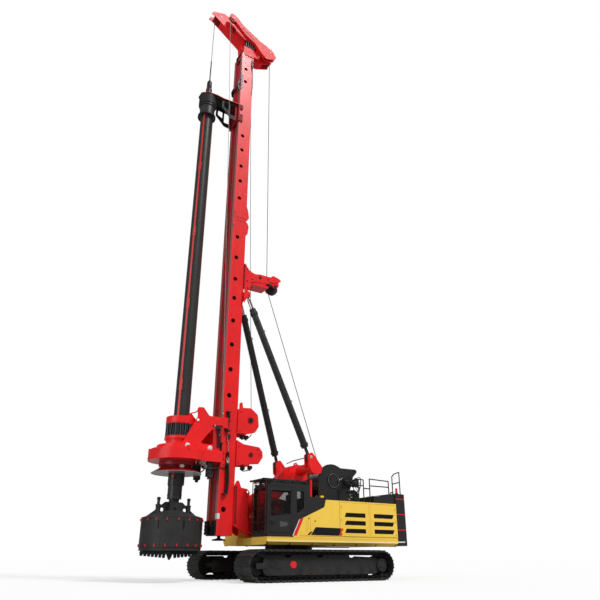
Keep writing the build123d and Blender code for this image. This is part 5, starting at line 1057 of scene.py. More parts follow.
def foot_of_mast():
    form = Form()
    for side in BOTH:
        form.box((3.132, side * 0.15, 1.44), (3.185, side * 0.42, 1.885))
        for z in (1.44, 1.56, 1.68, 1.80):
            form.box((3.132, side * 0.148, z), (3.20, side * 0.424, z + 0.085))
    form.box((3.052, -0.24, 1.42), (3.132, 0.24, 1.58))
    form.piece("rail_end_stops", "mast", "rubber", bevel=0.008)
    form = Form().box((3.032, RAIL_SIDE, 1.92), (3.128, RAIL_SIDE + 0.006, 2.10))
    form.box((3.1305, 0.30, 1.92), (3.136, 0.42, 2.10))
    form.piece("bare_mast_plate", "mast", "pale", bevel=0.001)
    form = Form()
    holes = Form()
    for side in BOTH:
        form.box((2.405, side * 0.4203, 1.78), (2.475, side * 0.4323, 3.04))
        for n in range(13):
            holes.turned((2.44, side * 0.4323, 1.84 + 0.095 * n), (0, side, 0),
                         [(0, 0.024), (0.002, 0.022)], 12)
    form.piece("cradle_edge_plates", "mast", "deep_red", bevel=0.002)
    holes.piece("cradle_edge_holes", "mast", "rubber")


def mast_winches():
    """Bolts of the cradle and the winches, with their shaft ends, motors, sumps and hoses."""
    drums = (AUX_DRUM[:2], FEED_DRUM[:2])
    form = Form().side_bolts(0.42, ((1.99, 1.60), (1.93, 1.47), (2.30, 2.90), (2.02, 2.70), (2.05, 2.15)),
                             0.018)
    cheek = ((2.38, 4.96), (2.38, 5.66), (2.40, 3.82), (2.40, 4.40), (1.52, 4.18), (1.62, 4.36))
    form.side_bolts(0.40, cheek, 0.018)
    for side in BOTH:
        form.ring_of_bolts((drums[0][0], side * 0.412, drums[0][1]), (0, side, 0), 0.120, 8, 0.011)
    form.piece("winch_cheek_bolts", "mast", "deep_red")
    form = Form()
    for (x, z), r_in, r_out in zip(drums, (0.012, 0.010), (0.092, 0.078)):
        form.ring((x, 0.412, z), LEFT, r_in, r_out, 0, 0.02, 28)
    form.piece("drum_shaft_ends", "mast", "rubber")
    form = Form()
    for x, z in drums:
        form.turned((x, -0.40, z), RIGHT, MAST_MOTOR, 28)
        form.ring_of_bolts((x, -0.45, z), RIGHT, 0.14, 10, 0.012)
    for x, z in ((2.20, 4.84), (2.02, 4.83), (2.12, 3.72), (1.82, 3.76)):
        form.box((x - 0.05, 0.10, z - 0.10), (x + 0.05, 0.30, z + 0.02))
        form.turned((x, 0.20, z - 0.10), DOWN, SUMP, 14)
    form.piece("mast_winch_motors", "mast", "iron", "engine_iron", bevel=0.003)
    Form().hoses(0.017, *MAST_WINCH_HOSES).piece("mast_winch_hoses", "mast", "hose")


def hose_bundle():
    """Feed hoses, a chain and its shackle on the cab's side of the mast."""
    form = Form()
    for dx, dy in ((0.0, 0.035), (0.055, 0.025), (0.028, 0.075)):
        form.hoses(0.024, [(2.86 + dx, 0.37 + dy, 5.62), (2.84 + dx, 0.39 + dy, 5.45),
                           (2.86 + dx, 0.37 + dy, 5.24), (2.88 + dx, 0.365 + dy, 4.90)])
        form.tube([(2.80 + dx, 0.37 + dy, 4.16), (2.79 + dx, 0.37 + dy, 3.98)], 0.024)
        form.hoses(0.030, [(2.80 + dx, 0.37 + dy, 3.76), (2.78 + dx * 1.2, 0.38 + dy, 3.52),
                           (2.77 + dx * 1.2, 0.39 + dy, 3.22), (2.78 + dx * 1.1, 0.38 + dy, 2.95),
                           (2.80 + dx, 0.37 + dy, 2.72)])
    form.piece("mast_hoses", "mast", "hose")
    form = Form()
    for z in (5.60, 5.26, 4.92, 3.72, 2.74):
        form.box((2.80, BOX_SIDE, z - 0.02), (2.96, 0.47, z + 0.02))
    form.turned((2.80, 0.39, 4.62), UP, [(0, 0.045), (0.16, 0.045), (0.18, 0.03)], 16)
    form.piece("hose_clamps", "mast", "dark", bevel=0.004)
    # Every other link of the chain lies across the one before it
    form = Form()
    across = (Vector((0, 0.018, 0)), Vector((0.018, 0, 0)))
    turns = [2 * pi * k / 12 for k in range(13)]
    for x, top, first in ((2.86, 4.84, 0), (2.82, 4.48, 1)):
        for n in range(7):
            centre = Vector((x, 0.395, top - 0.05 * n))
            flat = across[(n + first) % 2]
            link = [centre + flat * cos(turn) + Vector((0, 0, 0.036 * sin(turn))) for turn in turns]
            form.tube(link, 0.007, 6)
    form.piece("mast_chain", "mast", "steel")
    form = Form().ring((2.82, 0.385, 3.90), LEFT, 0.030, 0.058, 0, 0.03, 24)
    form.boxes(((2.775, 0.38, 3.78), (2.865, 0.42, 3.85)), ((2.79, 0.38, 3.94), (2.85, 0.42, 4.02)))
    form.piece("mast_shackle", "mast", "zinc", bevel=0.004)


def top_of_mast():
    form = Form().plate([(3.135, 21.0), (3.135, 21.75), (3.19, 21.72), (3.29, 21.40), (3.24, 21.05)], 0.33,
                        0.37)
    form.plate([(3.135, 21.1), (3.135, 21.65), (3.18, 21.62), (3.26, 21.36), (3.22, 21.10)], -0.37, -0.33)
    form.box((3.135, -0.37, 21.30), (3.20, 0.37, 21.40))
    form.piece("mast_stop_bracket", "mast", "black", bevel=0.004)
    form = Form().box((3.04, RAIL_SIDE, 21.0), (3.125, RAIL_SIDE + 0.005, 22.0))
    form.piece("mast_top_strip", "mast", "grey", "rod_chrome")
    form = Form()
    for n in range(10):
        x, z = 3.045 + 0.038 * ((n + 1) % 2), 21.03 + 0.095 * n
        form.box((x, RAIL_SIDE + 0.005, z), (x + 0.036, RAIL_SIDE + 0.0065, z + 0.07))
    form.piece("mast_top_strip_marks", "mast", "rubber", smooth=False)
    form = Form().boxes(((2.50, BOX_SIDE, 22.82), (2.60, BOX_SIDE + 0.05, 22.98)),
                        ((2.48, BOX_SIDE, 23.08), (2.58, BOX_SIDE + 0.05, 23.20)),
                        ((2.515, BOX_SIDE + 0.02, 22.6), (2.545, BOX_SIDE + 0.045, 23.3)))
    form.hoses(0.011, [(2.53, 0.38, 22.62), (2.50, 0.38, 22.2), (2.49, 0.37, 21.5), (2.52, 0.355, 21.0)])
    form.piece("mast_top_switch", "mast", "dark", bevel=0.004)
    form = Form().box((2.49, BOX_SIDE, 22.70), (2.58, BOX_SIDE + 0.045, 22.80))
    for z in (22.72, 22.78):
        form.turned((2.545, BOX_SIDE + 0.045, z), LEFT, [(0, 0.016), (0.02, 0.016)], 12)
    form.piece("mast_top_fittings", "mast", "black")


# Head of the mast and the rope bracket

PLATE_Y = 0.371                           # what the head's hatch stands out to
BRACKET_Y = 0.335                         # the bracket's side faces


def head_dress():
    hatch = [(2.36, 23.96), (3.02, 23.96), (3.02, 24.34), (2.66, 24.34), (2.36, 24.12)]
    Form().plate(hatch, 0.3655, PLATE_Y).piece("head_hatch", "mast", "hatch", smooth=False)
    form = Form()
    for n in range(5):
        x = 2.50 + 0.105 * n
        form.plate(strip(x, x + 0.014, 23.98, 24.32 - 0.10 * max(0, 2 - n)), PLATE_Y, PLATE_Y + 0.005)
    form.piece("head_hatch_slats", "mast", "pale", smooth=False)
    # Dark corner between the arm and the mast
    form = Form().boxes(((3.052, -0.33, 23.52), (3.11, 0.19, 23.62)),
                        ((3.052, -0.34, 23.20), (3.10, -0.22, 23.60)),
                        ((3.052, 0.10, 23.60), (3.10, 0.19, 24.02)))
    form.piece("head_hinge_block", "mast", "dark", bevel=0.006)
    form = Form().boxes(((3.50, 0.2003, 24.86), (3.66, 0.215, 24.92)),
                        ((3.56, 0.2003, 24.62), (3.62, 0.225, 25.02)))
    form.turned((3.59, 0.20, 24.78), LEFT, [(0, 0.03), (0.04, 0.03), (0.05, 0.015)], 14)
    form.piece("head_switch", "mast", "rubber", bevel=0.003)
    front, rear, aux = FRONT_SHEAVE[:2], REAR_SHEAVE[:2], AUX_SHEAVE[:2]
    form = Form()
    for (x, z), y, r in (((2.20, 23.66), 0.365, 0.045), (front, 0.2, 0.055), ((4.62, 25.26), 0.2, 0.030),
                         (rear, 0.56, 0.045), (aux, 0.56, 0.045)):
        form.turned((x, y, z), LEFT, [(0, r), (0.012, r), (0.016, r * 0.6)])
    for x, z in (front, rear):
        form.turned((x, -0.2, z), RIGHT, [(0, 0.055), (0.012, 0.055), (0.016, 0.03)])
    form.piece("head_pins", "mast", "pin")
    arm = ((1.60, 24.36), (2.10, 24.52), (2.80, 24.80), (3.35, 25.10), (1.44, 23.90))
    form = Form().bolts([(x, 0.56, z) for x, z in arm], LEFT, 0.018)
    form.bolts([(2.58 + 0.1 * n, 0.365, 23.455) for n in range(5)], LEFT, 0.015)
    form.piece("head_bolts", "mast", "pin")
    groove = [(2.50, 24.31), (2.77, 24.55), (3.29, 24.86), (3.31, 24.81), (2.97, 24.58), (2.71, 24.41)]
    Form().plate(groove, 0.5482, 0.5495).piece("head_groove_floor", "mast", "deep_red", smooth=False)
    # Rope keepers over the sheaves
    form = Form()
    for x, z in ((4.60, 25.12), (1.36, 23.98)):
        form.tube([(x, -0.165, z), (x, 0.165, z)], 0.014)
    for x, z in ((3.95, 25.14), (1.40, 24.12)):
        form.tube([(x, 0.395, z), (x, 0.525, z)], 0.012)
    form.piece("rope_keepers", "mast", "iron")


def bracket_dress():
    bolts = ((1.32, 11.45), (0.94, 11.38), (2.07, 11.28), (2.27, 10.82), (2.31, 11.13), (2.30, 11.70))
    Form().side_bolts(BRACKET_Y, bolts, 0.026, 0.014).piece("bracket_bolts", "mast", "dark")
    form = Form()
    for side in BOTH:
        form.ring((1.71, side * BRACKET_Y, 11.44), (0, side, 0), 0.010, 0.062, 0, 0.012, 24)
        form.ring((0.97, side * BRACKET_Y, 11.22), (0, side, 0), 0.008, 0.075, 0, 0.014, 24)
        form.box((1.00, side * BRACKET_Y, 11.33), (1.26, side * 0.345, 11.36))
    for x in (1.24, 0.77):
        form.tube([(x, -0.298, 11.33), (x, 0.298, 11.33)], 0.016)
    form.piece("bracket_hubs", "mast", "rubber")
    form = Form()
    for side in BOTH:
        form.plate(strip(2.478, 2.445, 10.76, 11.87), side * 0.336, side * 0.40)
    form.piece("bracket_flanges", "mast", "deep_red", bevel=0.003)


# Rotary drive

SPRINGS = 18
CONE_PINS = [(cos(radians(turn)), sin(radians(turn)), 0) for turn in (86, 206, 326)]
CARRIAGE_Y = 0.575                        # the carriage's side plates
CLAW_Y = 0.475
MOTOR_Y = 0.52
GREASE_PIPE = [(3.97, 0.55, 5.56), (4.05, 0.52, 5.58), (4.12, 0.50, 5.48), (4.22, 0.48, 5.40),
               (4.34, 0.46, 5.36),
               (4.42, 0.42, 5.30), (4.44, 0.40, 5.24)]


def coil(form, x, y, z0, z1, r, wire, turns):
    steps = turns * 10
    form.tube([(x + r * cos(2 * pi * n / 10), y + r * sin(2 * pi * n / 10), z0 + (z1 - z0) * n / steps)
               for n in range(steps + 1)], wire, 5)


def on_kelly(form, z, r_in, r_out, high, sides):
    """A level ring round the Kelly bar's axis."""
    return form.ring((KELLY, 0, z), UP, r_in, r_out, 0, high, sides)


def drive_dress():
    form = Form()
    for n in range(SPRINGS):
        turn = 2 * pi * n / SPRINGS
        coil(form, KELLY + 0.455 * cos(turn), 0.455 * sin(turn), 4.565, 4.985, 0.0405, 0.0085, 9)
    form.piece("damper_springs", "drive", "iron")
    form = Form()
    for n in range(SPRINGS):
        turn = 2 * pi * (n + 0.5) / SPRINGS
        x, y = KELLY + 0.490 * cos(turn), 0.490 * sin(turn)
        form.turned((x, y, 4.50), UP, [(0, 0.010), (0.54, 0.010)], 8)
        for z in (4.562, 4.962):
            form.turned((x, y, z), UP, [(0, 0.019), (0.024, 0.019)], 6)
    form.piece("damper_rods", "drive", "steel", "rod_chrome")
    form = on_kelly(Form(), 5.24, 0.296, 0.36, 0.012, 48).ring_of_bolts((KELLY, 0, 5.24), UP, 0.43, 18,
                                                                        0.015)
    for z in (5.03, 4.47):
        on_kelly(form, z, 0.5045, 0.512, 0.03, 60)
    form.piece("damper_trim", "drive", "red")
    form = Form().ring_of_bolts((KELLY, 0, 4.252), UP, 0.66, 28, 0.017)
    form.ring_of_bolts((KELLY, 0, 4.11), UP, 0.87, 20, 0.015, start=0.1)
    for n in range(9):
        axis = Vector((cos(radians(20 * n - 80)), sin(radians(20 * n - 80)), 0))
        form.bolt(Vector((KELLY, 0, 3.80)) + axis, axis, 0.014, 0.010)
    form.piece("gearbox_bolts", "drive", "red")
    # The pale pins that hold the gearbox in its carriage, and those on the cone
    form = Form()
    for side in BOTH:
        for x, z, y in ((4.52, 4.19, 0.742), (3.62, 4.20, CARRIAGE_Y)):
            pin = [(0, 0.085), (0.03, 0.085), (0.034, 0.060), (0.05, 0.058), (0.052, 0.0)]
            form.turned((x, side * y, z), (0, side, 0), pin, 28)
            form.bolt((x, side * (y + 0.05), z), (0, side, 0), 0.025)
    for axis in CONE_PINS:
        pin = [(0, 0.075), (0.03, 0.075), (0.034, 0.05), (0.05, 0.048), (0.052, 0.0)]
        form.turned((KELLY + 0.56 * axis[0], 0.56 * axis[1], 3.51), axis, pin)
    form.piece("drive_pins", "drive", "pale", "rod_chrome")
    form = Form()
    for axis in CONE_PINS:
        form.turned((KELLY + 0.46 * axis[0], 0.46 * axis[1], 3.51), axis, [(0, 0.10), (0.10, 0.09)])
    for side in BOTH:
        form.plate([(4.42, 4.05), (4.62, 4.05), (4.64, 4.24), (4.56, 4.32), (4.40, 4.36)], side * 0.56,
                   side * 0.742)
    form.piece("cone_bosses", "drive", "red", bevel=0.004)
    Form().tube(smooth_path(GREASE_PIPE), 0.022, 10).piece("grease_pipe", "drive", "red")
    form = Form()
    for side in BOTH:
        form.ring((4.11, side * CARRIAGE_Y, 5.13), (0, side, 0), 0.060, 0.085, 0, 0.008)
    form.piece("ear_rings", "drive", "red")
    drive_plumbing()
    carriage_dress()


def drive_plumbing():
    port = [(0, 0.024), (0.05, 0.024), (0.055, 0.016)]
    form = Form()
    for side in BOTH:
        y = side * MOTOR_Y
        form.ring_of_bolts((3.56, y, 3.40), DOWN, 0.108, 8, 0.012)
        form.box((3.66, y - 0.06, 3.50), (3.74, y + 0.06, 3.62))
        for dz in (0.03, 0.09):
            for dy in (0.03, -0.03):
                form.turned((3.74, y + dy, 3.50 + dz), (1, 0, 0), port, 12)
    for x, y in ((3.90, 0.50), (4.04, 0.46), (3.80, 0.58)):
        form.turned((x, y, 3.7295), DOWN, [(0, 0.03), (0.05, 0.03), (0.055, 0.02), (0.09, 0.018)], 14)
    for x, z in ((3.475, 4.995), (3.29, 4.69)):
        form.turned((x, CARRIAGE_Y, z), LEFT, [(0, 0.032), (0.022, 0.030)], 14)
    form.piece("motor_fittings", "drive", "zinc")
    form = Form().boxes(((3.94, 0.24, 3.48), (4.08, 0.40, 3.7295)),
                        ((3.97, 0.26, 3.34), (4.05, 0.36, 3.48)))
    form.piece("lubrication_pump", "drive", "rubber", bevel=0.006)
    hook = ((4.01, 3.36), (4.01, 3.24), (3.98, 3.18), (3.94, 3.22))
    Form().hoses(0.014, [(x, 0.31, z) for x, z in hook]).piece("lubrication_hook", "drive", "rubber")
    form = Form()
    for side in BOTH:
        for z, sag in ((3.53, 0.0), (3.59, 0.06)):
            for dy in (-0.03, 0.03):
                y = side * MOTOR_Y + dy
                up = side * 0.62 + dy
                form.hoses(0.016, [(3.795, y, z), (3.84, y + side * 0.02, z - 0.01),
                                   (3.80, y + side * 0.10, z - 0.03 - sag),
                                   (3.56, y + side * 0.17, z - 0.04 - sag),
                                   (3.36, up, z + 0.02 - sag), (3.22, up, 3.76), (3.20, up, 4.40)])
    form.piece("motor_hoses", "drive", "hose")
    form = Form()
    for side in BOTH:
        for z in (3.80, 4.40):
            form.box((3.16, side * CARRIAGE_Y, z - 0.02), (3.25, side * 0.68, z + 0.02))
    form.piece("motor_hose_clamps", "drive", "dark", bevel=0.003)


def carriage_dress():
    """Valves and pipes on the carriage's sides, a dark red plate painted as a shaded recess there, painted
    shadow strips under its beam and on its claws, and the claws' bolts.
    """
    panel = Form()
    shadow = Form()
    block = Form()
    for side in BOTH:
        # Painted shade: a dark red plate on each side stands for a shaded recess, and dark strips stand for
        # the shadow under the beam and on the claws
        panel.plate([(3.16, 4.20), (3.49, 4.16), (3.53, 4.96), (3.16, 4.96)], side * 0.5752, side * 0.577)
        shadow.plate([(3.16, 4.965), (3.56, 4.965), (3.56, 5.02), (3.16, 5.03)], side * 0.5752,
                     side * 0.579)
        for z0, z1 in ((3.88, 4.15), (4.97, 5.27)):
            shadow.plate(strip(3.045, 3.095, z0, z1), side * 0.4752, side * 0.487)
        block.plate(strip(3.25, 3.43, 4.84, 4.945), side * 0.577, side * 0.625)
        for x in (3.28, 3.335, 3.39):
            pipe = ((x, 0.60, 4.85), (x - 0.01, 0.605, 4.74), (x - 0.03, 0.60, 4.60),
                    (x - 0.04, 0.60, 4.42),
                    (x - 0.05, 0.60, 4.24))
            block.hoses(0.014, [(px, side * py, pz) for px, py, pz in pipe])
    panel.piece("carriage_panel", "drive", "shade_red", smooth=False)
    shadow.piece("carriage_covers", "drive", "seam", smooth=False)
    block.piece("carriage_valves", "drive", "rubber", bevel=0.003)
    rows = [z for z0, z1 in ((3.62, 4.16), (4.96, 5.34)) for z in (z0 + 0.07, (z0 + z1) / 2, z1 - 0.07)]
    form = Form().side_bolts(CLAW_Y, [(x, z) for z in rows for x in (3.02, 3.10)], 0.017)
    form.piece("claw_bolts", "drive", "deep_red")


# Guide, Kelly bar and tool

GUIDE_TOP = 20.0603
TUBE_R = 0.262                            # of the outer Kelly tube


def guide_dress():
    form = on_kelly(Form(), GUIDE_TOP, 0.235, 0.30, 0.02, 44)
    form.ring_of_bolts((KELLY, 0, GUIDE_TOP), UP, 0.36, 16, 0.016)
    form.side_bolts(0.47, [(x, z) for z in (19.15, 19.43, 19.87, 20.01) for x in (3.03, 3.10)])
    form.piece("guide_bolts", "guide", "iron")
    # Rollers that run on the rails
    form = Form()
    for side in BOTH:
        for z in (19.29, 19.94):
            form.turned((3.135, side * 0.4705, z), (0, side, 0),
                        [(0, 0.055), (0.009, 0.055), (0.011, 0.03)])
    form.piece("guide_rollers", "guide", "black", "drum_steel")
    form = on_kelly(Form(), 19.49, 0.3702, 0.376, 0.02, 48)
    on_kelly(form, 18.87, 0.3602, 0.400, 0.075, 48)
    form.ring_of_bolts((KELLY, 0, 18.90), DOWN, 0.325, 16, 0.014)
    form.piece("kelly_collar_trim", "kelly", "sleeve")
    # Locking recesses and drive stops on the Kelly bar
    form = Form()
    for turn in (46, 166, 286):
        axis = Vector((cos(radians(turn)), sin(radians(turn)), 0))
        side = Vector((-axis.y, axis.x, 0))
        for z in (6.2, 9.4, 12.6, 15.8):
            for edge in (-0.047, 0.047):
                low = Vector((KELLY, 0, z)) + axis * TUBE_R + side * edge
                foot = [low + side * a + axis * b
                        for a, b in ((-0.011, -0.01), (0.011, -0.01), (0.011, 0.022), (-0.011, 0.022))]
                form.solid([foot, [p + Vector((0, 0, 0.42)) for p in foot]])
    form.piece("kelly_stops", "kelly", "kelly", bevel=0.003)
    form = Form()
    for z in (2.93, 2.62):
        on_kelly(form, z, 0.2385, 0.2485, 0.025, 44)
    form.piece("neck_rings", "inner_kelly", "kelly")
    axis = (cos(radians(66)), sin(radians(66)), 0)
    form = Form().turned((KELLY + TUBE_R * axis[0], TUBE_R * axis[1], 3.18), axis,
                         [(0, 0.035), (0.004, 0.035), (0.005, 0.024), (-0.002, 0.02)], 18)
    form.piece("kelly_hole", "kelly", "rubber")


def bucket_dress():
    """Weld beads, hoop and pins of the bucket, and the bolts of its teeth."""
    form = Form()
    for n in range(9):
        turn = radians(10 + 40 * n)
        x, y = KELLY + 1.0015 * cos(turn), 1.0015 * sin(turn)
        form.tube([(x, y, 1.02), (x, y, 1.885)], 0.006, 6)
    for z in (1.893, 1.015):
        on_kelly(form, z, 0.998, 1.006, 0.014, 72)
    on_kelly(form, 2.128, 0.30, 0.326, 0.012, 48)
    on_kelly(form, 1.50, 0.955, 0.965, 0.34, 60)
    form.piece("bucket_welds", "inner_kelly", "dark")
    form = Form()
    for x in (KELLY - 0.53, KELLY + 0.53):
        for z in (2.06, 2.30):
            form.ring((x, 0, z), UP, 0.0825, 0.092, 0, 0.03, 28)
        form.turned((x, 0, 2.53), UP, [(0, 0.055), (0.02, 0.055), (0.03, 0.035)], 20)
    for side in BOTH:
        pin = [(-0.005, 0.05), (0.02, 0.05), (0.022, 0.035), (0.05, 0.035)]
        form.turned((KELLY, side * 0.205, 2.26), (0, side, 0), pin, 20)
    form.ring_of_bolts((KELLY, 0, 2.40), UP, 0.185, 6, 0.010)
    form.piece("bucket_pins", "inner_kelly", "iron", bevel=0.002)
    form = Form()
    for side in BOTH:
        for n in range(7):
            x = KELLY + side * (0.19 + n * 0.125)
            form.bolts([(x + dx, -side * 0.0605, 0.87) for dx in (-0.030, 0.030)], (0, -side, 0), 0.012)
    form.piece("tooth_bolts", "bucket_bottom", "iron")


# Undercarriage

AXLE_X = 2.445
AXLE_Z = 0.485
PLATE_OUT = 0.453                         # from the axle to the shoes' plates
SHOES = 54
TRACK_Y = 1.90
PITCH = (4 * AXLE_X + 2 * pi * PLATE_OUT) / SHOES
# A shoe's joint, its shadow inside and the notch in its edge: share of the pitch, half width, how far out
# (from, to) and how far across (from, to)
JOINT_BLOCKS = ((0.0, 0.030, -0.034, -0.001, 0.499, 0.502), (0.0, 0.026, -0.048, -0.0335, 0.155, 0.498),
                (0.5, 0.070, -0.044, -0.0335, 0.36, 0.498))
LINK_WINDOW = ((-0.050, -0.112), (0.050, -0.112), (0.062, -0.052), (-0.062, -0.052))
FRAME_BOLTS = ((-2.12, 0.66), (-1.70, 0.70), (-1.25, 0.68), (-0.70, 0.74), (-0.20, 0.74), (0.45, 0.74),
               (1.0, 0.74),
               (1.70, 0.73), (2.10, 0.70), (2.22, 0.42), (-2.22, 0.36))
RED_MARK = [(1.335, 0.52), (1.25, 0.62), (1.13, 0.62), (1.08, 0.56), (1.08, 0.47), (1.13, 0.41),
            (1.25, 0.41)]


def on_loop(along, out):
    """A point of the track's loop and its outward direction in the side plane."""
    straight = 2 * AXLE_X
    bend = pi * PLATE_OUT
    along = along % (2 * straight + 2 * bend)
    if along < straight:
        return (AXLE_X - along, AXLE_Z + PLATE_OUT + out), (0, 1)
    along -= straight
    if along < bend:
        turn = pi / 2 + along / PLATE_OUT
        centre = -AXLE_X
    elif along < bend + straight:
        return (-AXLE_X + along - bend, AXLE_Z - PLATE_OUT - out), (0, -1)
    else:
        turn = -pi / 2 + (along - bend - straight) / PLATE_OUT
        centre = AXLE_X
    reach = PLATE_OUT + out
    return (centre + reach * cos(turn), AXLE_Z + reach * sin(turn)), (cos(turn), sin(turn))


def loop_block(form, place, corners, y0, y1):
    """A block that follows the loop; corners are (along, out) from a place on it."""
    outline = [on_loop(place + along, out)[0] for along, out in corners]
    form.solid([[(x, y, z) for x, z in outline] for y in (y0, y1)])


def track_dress(side, name):
    """Bolts, joints and painted shade of the shoes, link pins with the windows between them, and chain
    guides.
    """
    body = name + "_track"
    middle = side * TRACK_Y
    form = Form()
    for n in range(SHOES):
        (x, z), (ux, uz) = on_loop((n + 0.58) * PITCH, -0.0005)
        for y in (-0.13, -0.07, 0.07, 0.13):
            form.turned((x, middle + y, z), (ux, 0, uz), [(0, 0.017), (0.011, 0.016), (0.013, 0.010)], 6)
    form.piece("shoe_bolts_" + name, body, "track", smooth=False)
    # Each shoe gets a dark joint, a black block painted as the shade inside the joint, and a dark notch
    form = Form()
    for n in range(SHOES):
        for share, wide, low, high, y0, y1 in JOINT_BLOCKS:
            loop_block(form, (n + share) * PITCH, ((-wide, low), (wide, low), (wide, high), (-wide, high)),
                       middle + side * y0, middle + side * y1)
    form.piece("shoe_joints_" + name, body, "rubber", "track_steel", smooth=False)
    pins = Form()
    windows = Form()
    guides = Form()
    for face in BOTH:
        for n in range(SHOES):
            (x, z), _ = on_loop(n * PITCH, -0.088)
            pin = [(0, 0.040), (0.016, 0.040), (0.018, 0.026)]
            pins.turned((x, middle + face * 0.1505, z), (0, face, 0), pin, 10)
            loop_block(windows, (n + 0.5) * PITCH, LINK_WINDOW, middle + face * 0.1503,
                       middle + face * 0.1530)
        for x0, x1 in ((-1.80, -0.72), (-0.60, 0.52), (0.64, 1.78)):
            y = middle + face * 0.19
            guides.plate([(x0, 0.27), (x0, 0.20), (x0 + 0.05, 0.148), (x1 - 0.05, 0.148), (x1, 0.20),
                          (x1, 0.27)],
                         y - 0.012, y + 0.012)
            guides.bolts([(x0 + 0.12 + n * (x1 - x0 - 0.24) / 4, y + face * 0.012, 0.20) for n in range(5)],
                         (0, face, 0), 0.018)
    pins.piece("link_pins_" + name, body, "track")
    windows.piece("link_windows_" + name, body, "rubber", "track_steel", smooth=False)
    guides.piece("chain_guides_" + name, body, "undercarriage", bevel=0.003)


def side_frame_dress(side, name):
    """Bolts, covers and the red mark of a side frame, and its travel motor's hoses."""
    body = name + "_track"
    face = side * (TRACK_Y + 0.32)
    hub = (-AXLE_X, face + side * 0.07, AXLE_Z)
    out = (0, side, 0)
    form = Form().bolts([(-1.95 + n * 0.4875 + dx, face, 0.265) for n in range(9) for dx in (-0.06, 0.06)],
                        out, 0.014)
    form.bolts([(x, face, z) for x, z in FRAME_BOLTS], out, 0.020, 0.014).ring_of_bolts(hub, out, 0.165, 16,
                                                                                        0.014)
    form.piece("frame_bolts_" + name, body, "undercarriage")
    form = Form().turned(hub, out, [(0, 0.10), (0.012, 0.10), (0.016, 0.06)], 32)
    for z in (0.44, 0.53):
        form.turned((hub[0] + 0.05, hub[1], z), out, [(0, 0.022), (0.02, 0.02)], 12)
    form.turned((1.98, face, 0.50), out, [(0, 0.06), (0.010, 0.06), (0.014, 0.04)])
    for outline in (strip(1.60, 1.86, 0.40, 0.60), strip(-1.75, -1.55, 0.33, 0.45)):
        form.plate(outline, face, face + side * 0.008)
    form.piece("frame_covers_" + name, body, "undercarriage", bevel=0.004)
    form = Form().plate(RED_MARK, face + side * CLEAR, face + side * 0.014)
    form.piece("frame_red_mark_" + name, body, "stripe_red", bevel=0.003)
    # The hoses have slack for the sliding frame
    form = Form()
    y = side * (TRACK_Y - 0.48)
    for dz in (-0.06, 0.0, 0.06):
        form.hoses(0.017, [(-2.40, y, 0.52 + dz), (-2.32, y - side * 0.10, 0.50 + dz),
                           (-2.10, y - side * 0.32, 0.56 + dz / 2), (-1.80, y - side * 0.62, 0.62 + dz / 2),
                           (-1.56, y - side * 0.78, 0.66 + dz / 2),
                           (-1.44, y - side * 0.80, 0.66 + dz / 2)])
    hoses = form.piece("travel_hoses_" + name, None, "hose")
    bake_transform(hoses)


def undercarriage_dress():
    for side, name in SIDES:
        track_dress(side, name)
        side_frame_dress(side, name)
    form = Form()
    for n in range(36):
        turn = 2 * pi * n / 36
        form.bolt((0.755 * cos(turn), 0.755 * sin(turn), 0.9855), DOWN, 0.016, 0.010)
    form.ring((0, 0, 1.02), UP, 0.8502, 0.862, 0, 0.05, 96)
    form.piece("slew_ring_seal", "undercarriage", "undercarriage")
    form = Form()
    eye = ((0.0, -0.07), (0.07, -0.06), (0.09, 0.0), (0.07, 0.06), (0.0, 0.07))
    for end in BOTH:
        for y in (-0.45, 0.45):
            form.tube([(end * (1.5 + dx), y + dy, 0.60) for dx, dy in eye], 0.022, 10)
    for x in (-0.6, 0.0, 0.6):
        form.box((x - 0.16, -0.55, 0.8995), (x + 0.16, -0.40, 0.908))
    form.piece("car_body_fittings", "undercarriage", "undercarriage", bevel=0.004)


# Stage

def add_object(name, data, look):
    """A camera or lamp that looks along a direction."""
    obj = bpy.data.objects.new(name, data)
    bpy.context.scene.collection.objects.link(obj)
    obj.rotation_mode = "QUATERNION"
    obj.rotation_quaternion = look.to_track_quat("-Z", "Y")
    return obj


def make_camera():
    data = bpy.data.cameras.new("camera")
    data.lens = CAMERA_LENS
    data.sensor_width = CAMERA_SENSOR
    data.clip_start = 0.1
    data.clip_end = 2000
    flat = cos(CAMERA_PITCH)
    look = Vector((-sin(CAMERA_TURN) * flat, -cos(CAMERA_TURN) * flat, sin(CAMERA_PITCH)))
    camera = add_object("camera", data, look)
    camera.location = CAMERA_PLACE
    bpy.context.scene.camera = camera


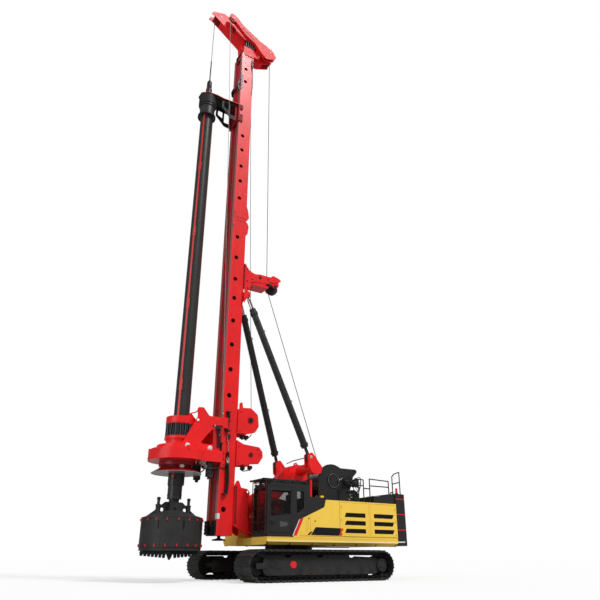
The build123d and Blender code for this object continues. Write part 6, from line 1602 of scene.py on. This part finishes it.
def make_floor():
    form = Form()
    corners = ((-1, -1), (1, -1), (1, 1), (-1, 1))
    form.mesh.faces.new([form.mesh.verts.new((x * FLOOR_HALF, y * FLOOR_HALF, 0)) for x, y in corners])
    material = MATERIALS["floor"] = bpy.data.materials.new("floor_white")
    material.use_nodes = True
    tree = material.node_tree
    tree.nodes.clear()
    tone = mixed(tree, noise(tree, object_coords(tree), 0.3), (0.78, 0.78, 0.78), (0.82, 0.82, 0.82))
    matt = node_of(tree, "ShaderNodeBsdfDiffuse", {"Color": tone}).outputs[0]
    bounce = node_of(tree, "ShaderNodeBsdfDiffuse", {"Color": FLOOR_BOUNCE}).outputs[0]
    glow = node_of(tree, "ShaderNodeEmission", {"Color": WHITE, "Strength": 1.0}).outputs[0]
    both = node_of(tree, "ShaderNodeMixShader", {0: FLOOR_SHADOW, 1: glow, 2: matt}).outputs[0]
    seen = node_of(tree, "ShaderNodeLightPath", {}).outputs["Is Camera Ray"]
    surface = node_of(tree, "ShaderNodeMixShader", {0: seen, 1: bounce, 2: both}).outputs[0]
    node_of(tree, "ShaderNodeOutputMaterial", {"Surface": surface})
    floor = form.piece("floor", None, "floor", smooth=False)


def make_world():
    """White where the camera sees it, and a plain pale light for the machine."""
    world = bpy.data.worlds.new("studio")
    bpy.context.scene.world = world
    world.use_nodes = True
    tree = world.node_tree
    rays = node_of(tree, "ShaderNodeLightPath", {}).outputs
    shown = combine(tree, "MAXIMUM", rays["Is Camera Ray"], rays["Is Transmission Ray"])
    lit = ramp(tree, rays["Is Glossy Ray"], 0.0, 1.0, WORLD_LIGHT, WORLD_GLOSS)
    back = tree.nodes["Background"].inputs
    feed(tree, back["Color"], WHITE)
    feed(tree, back["Strength"], combine(tree, "MAXIMUM", lit, shown))


def add_sun(name, strength, place, soft):
    data = bpy.data.lights.new(name, "SUN")
    data.energy = strength
    data.angle = radians(soft)
    add_object(name, data, -Vector(place))


def make_stage():
    make_camera()
    make_floor()
    make_world()
    add_sun("key", SUN_STRENGTH, SUN_FROM, SUN_SOFT)
    add_sun("fill", FILL_STRENGTH, FILL_FROM, FILL_SOFT)
    bpy.context.scene.view_settings.view_transform = "Standard"


make_stage()
dress_nodes()
ropes()
side_markings()
deck_edge()
counterweight_dress()
roof_dress()
winch_dress()
cab_dress()
pin_caps()
linkage_dress()
cylinder_dress()
mast_dress()
head_dress()
bracket_dress()
drive_dress()
guide_dress()
bucket_dress()
undercarriage_dress()
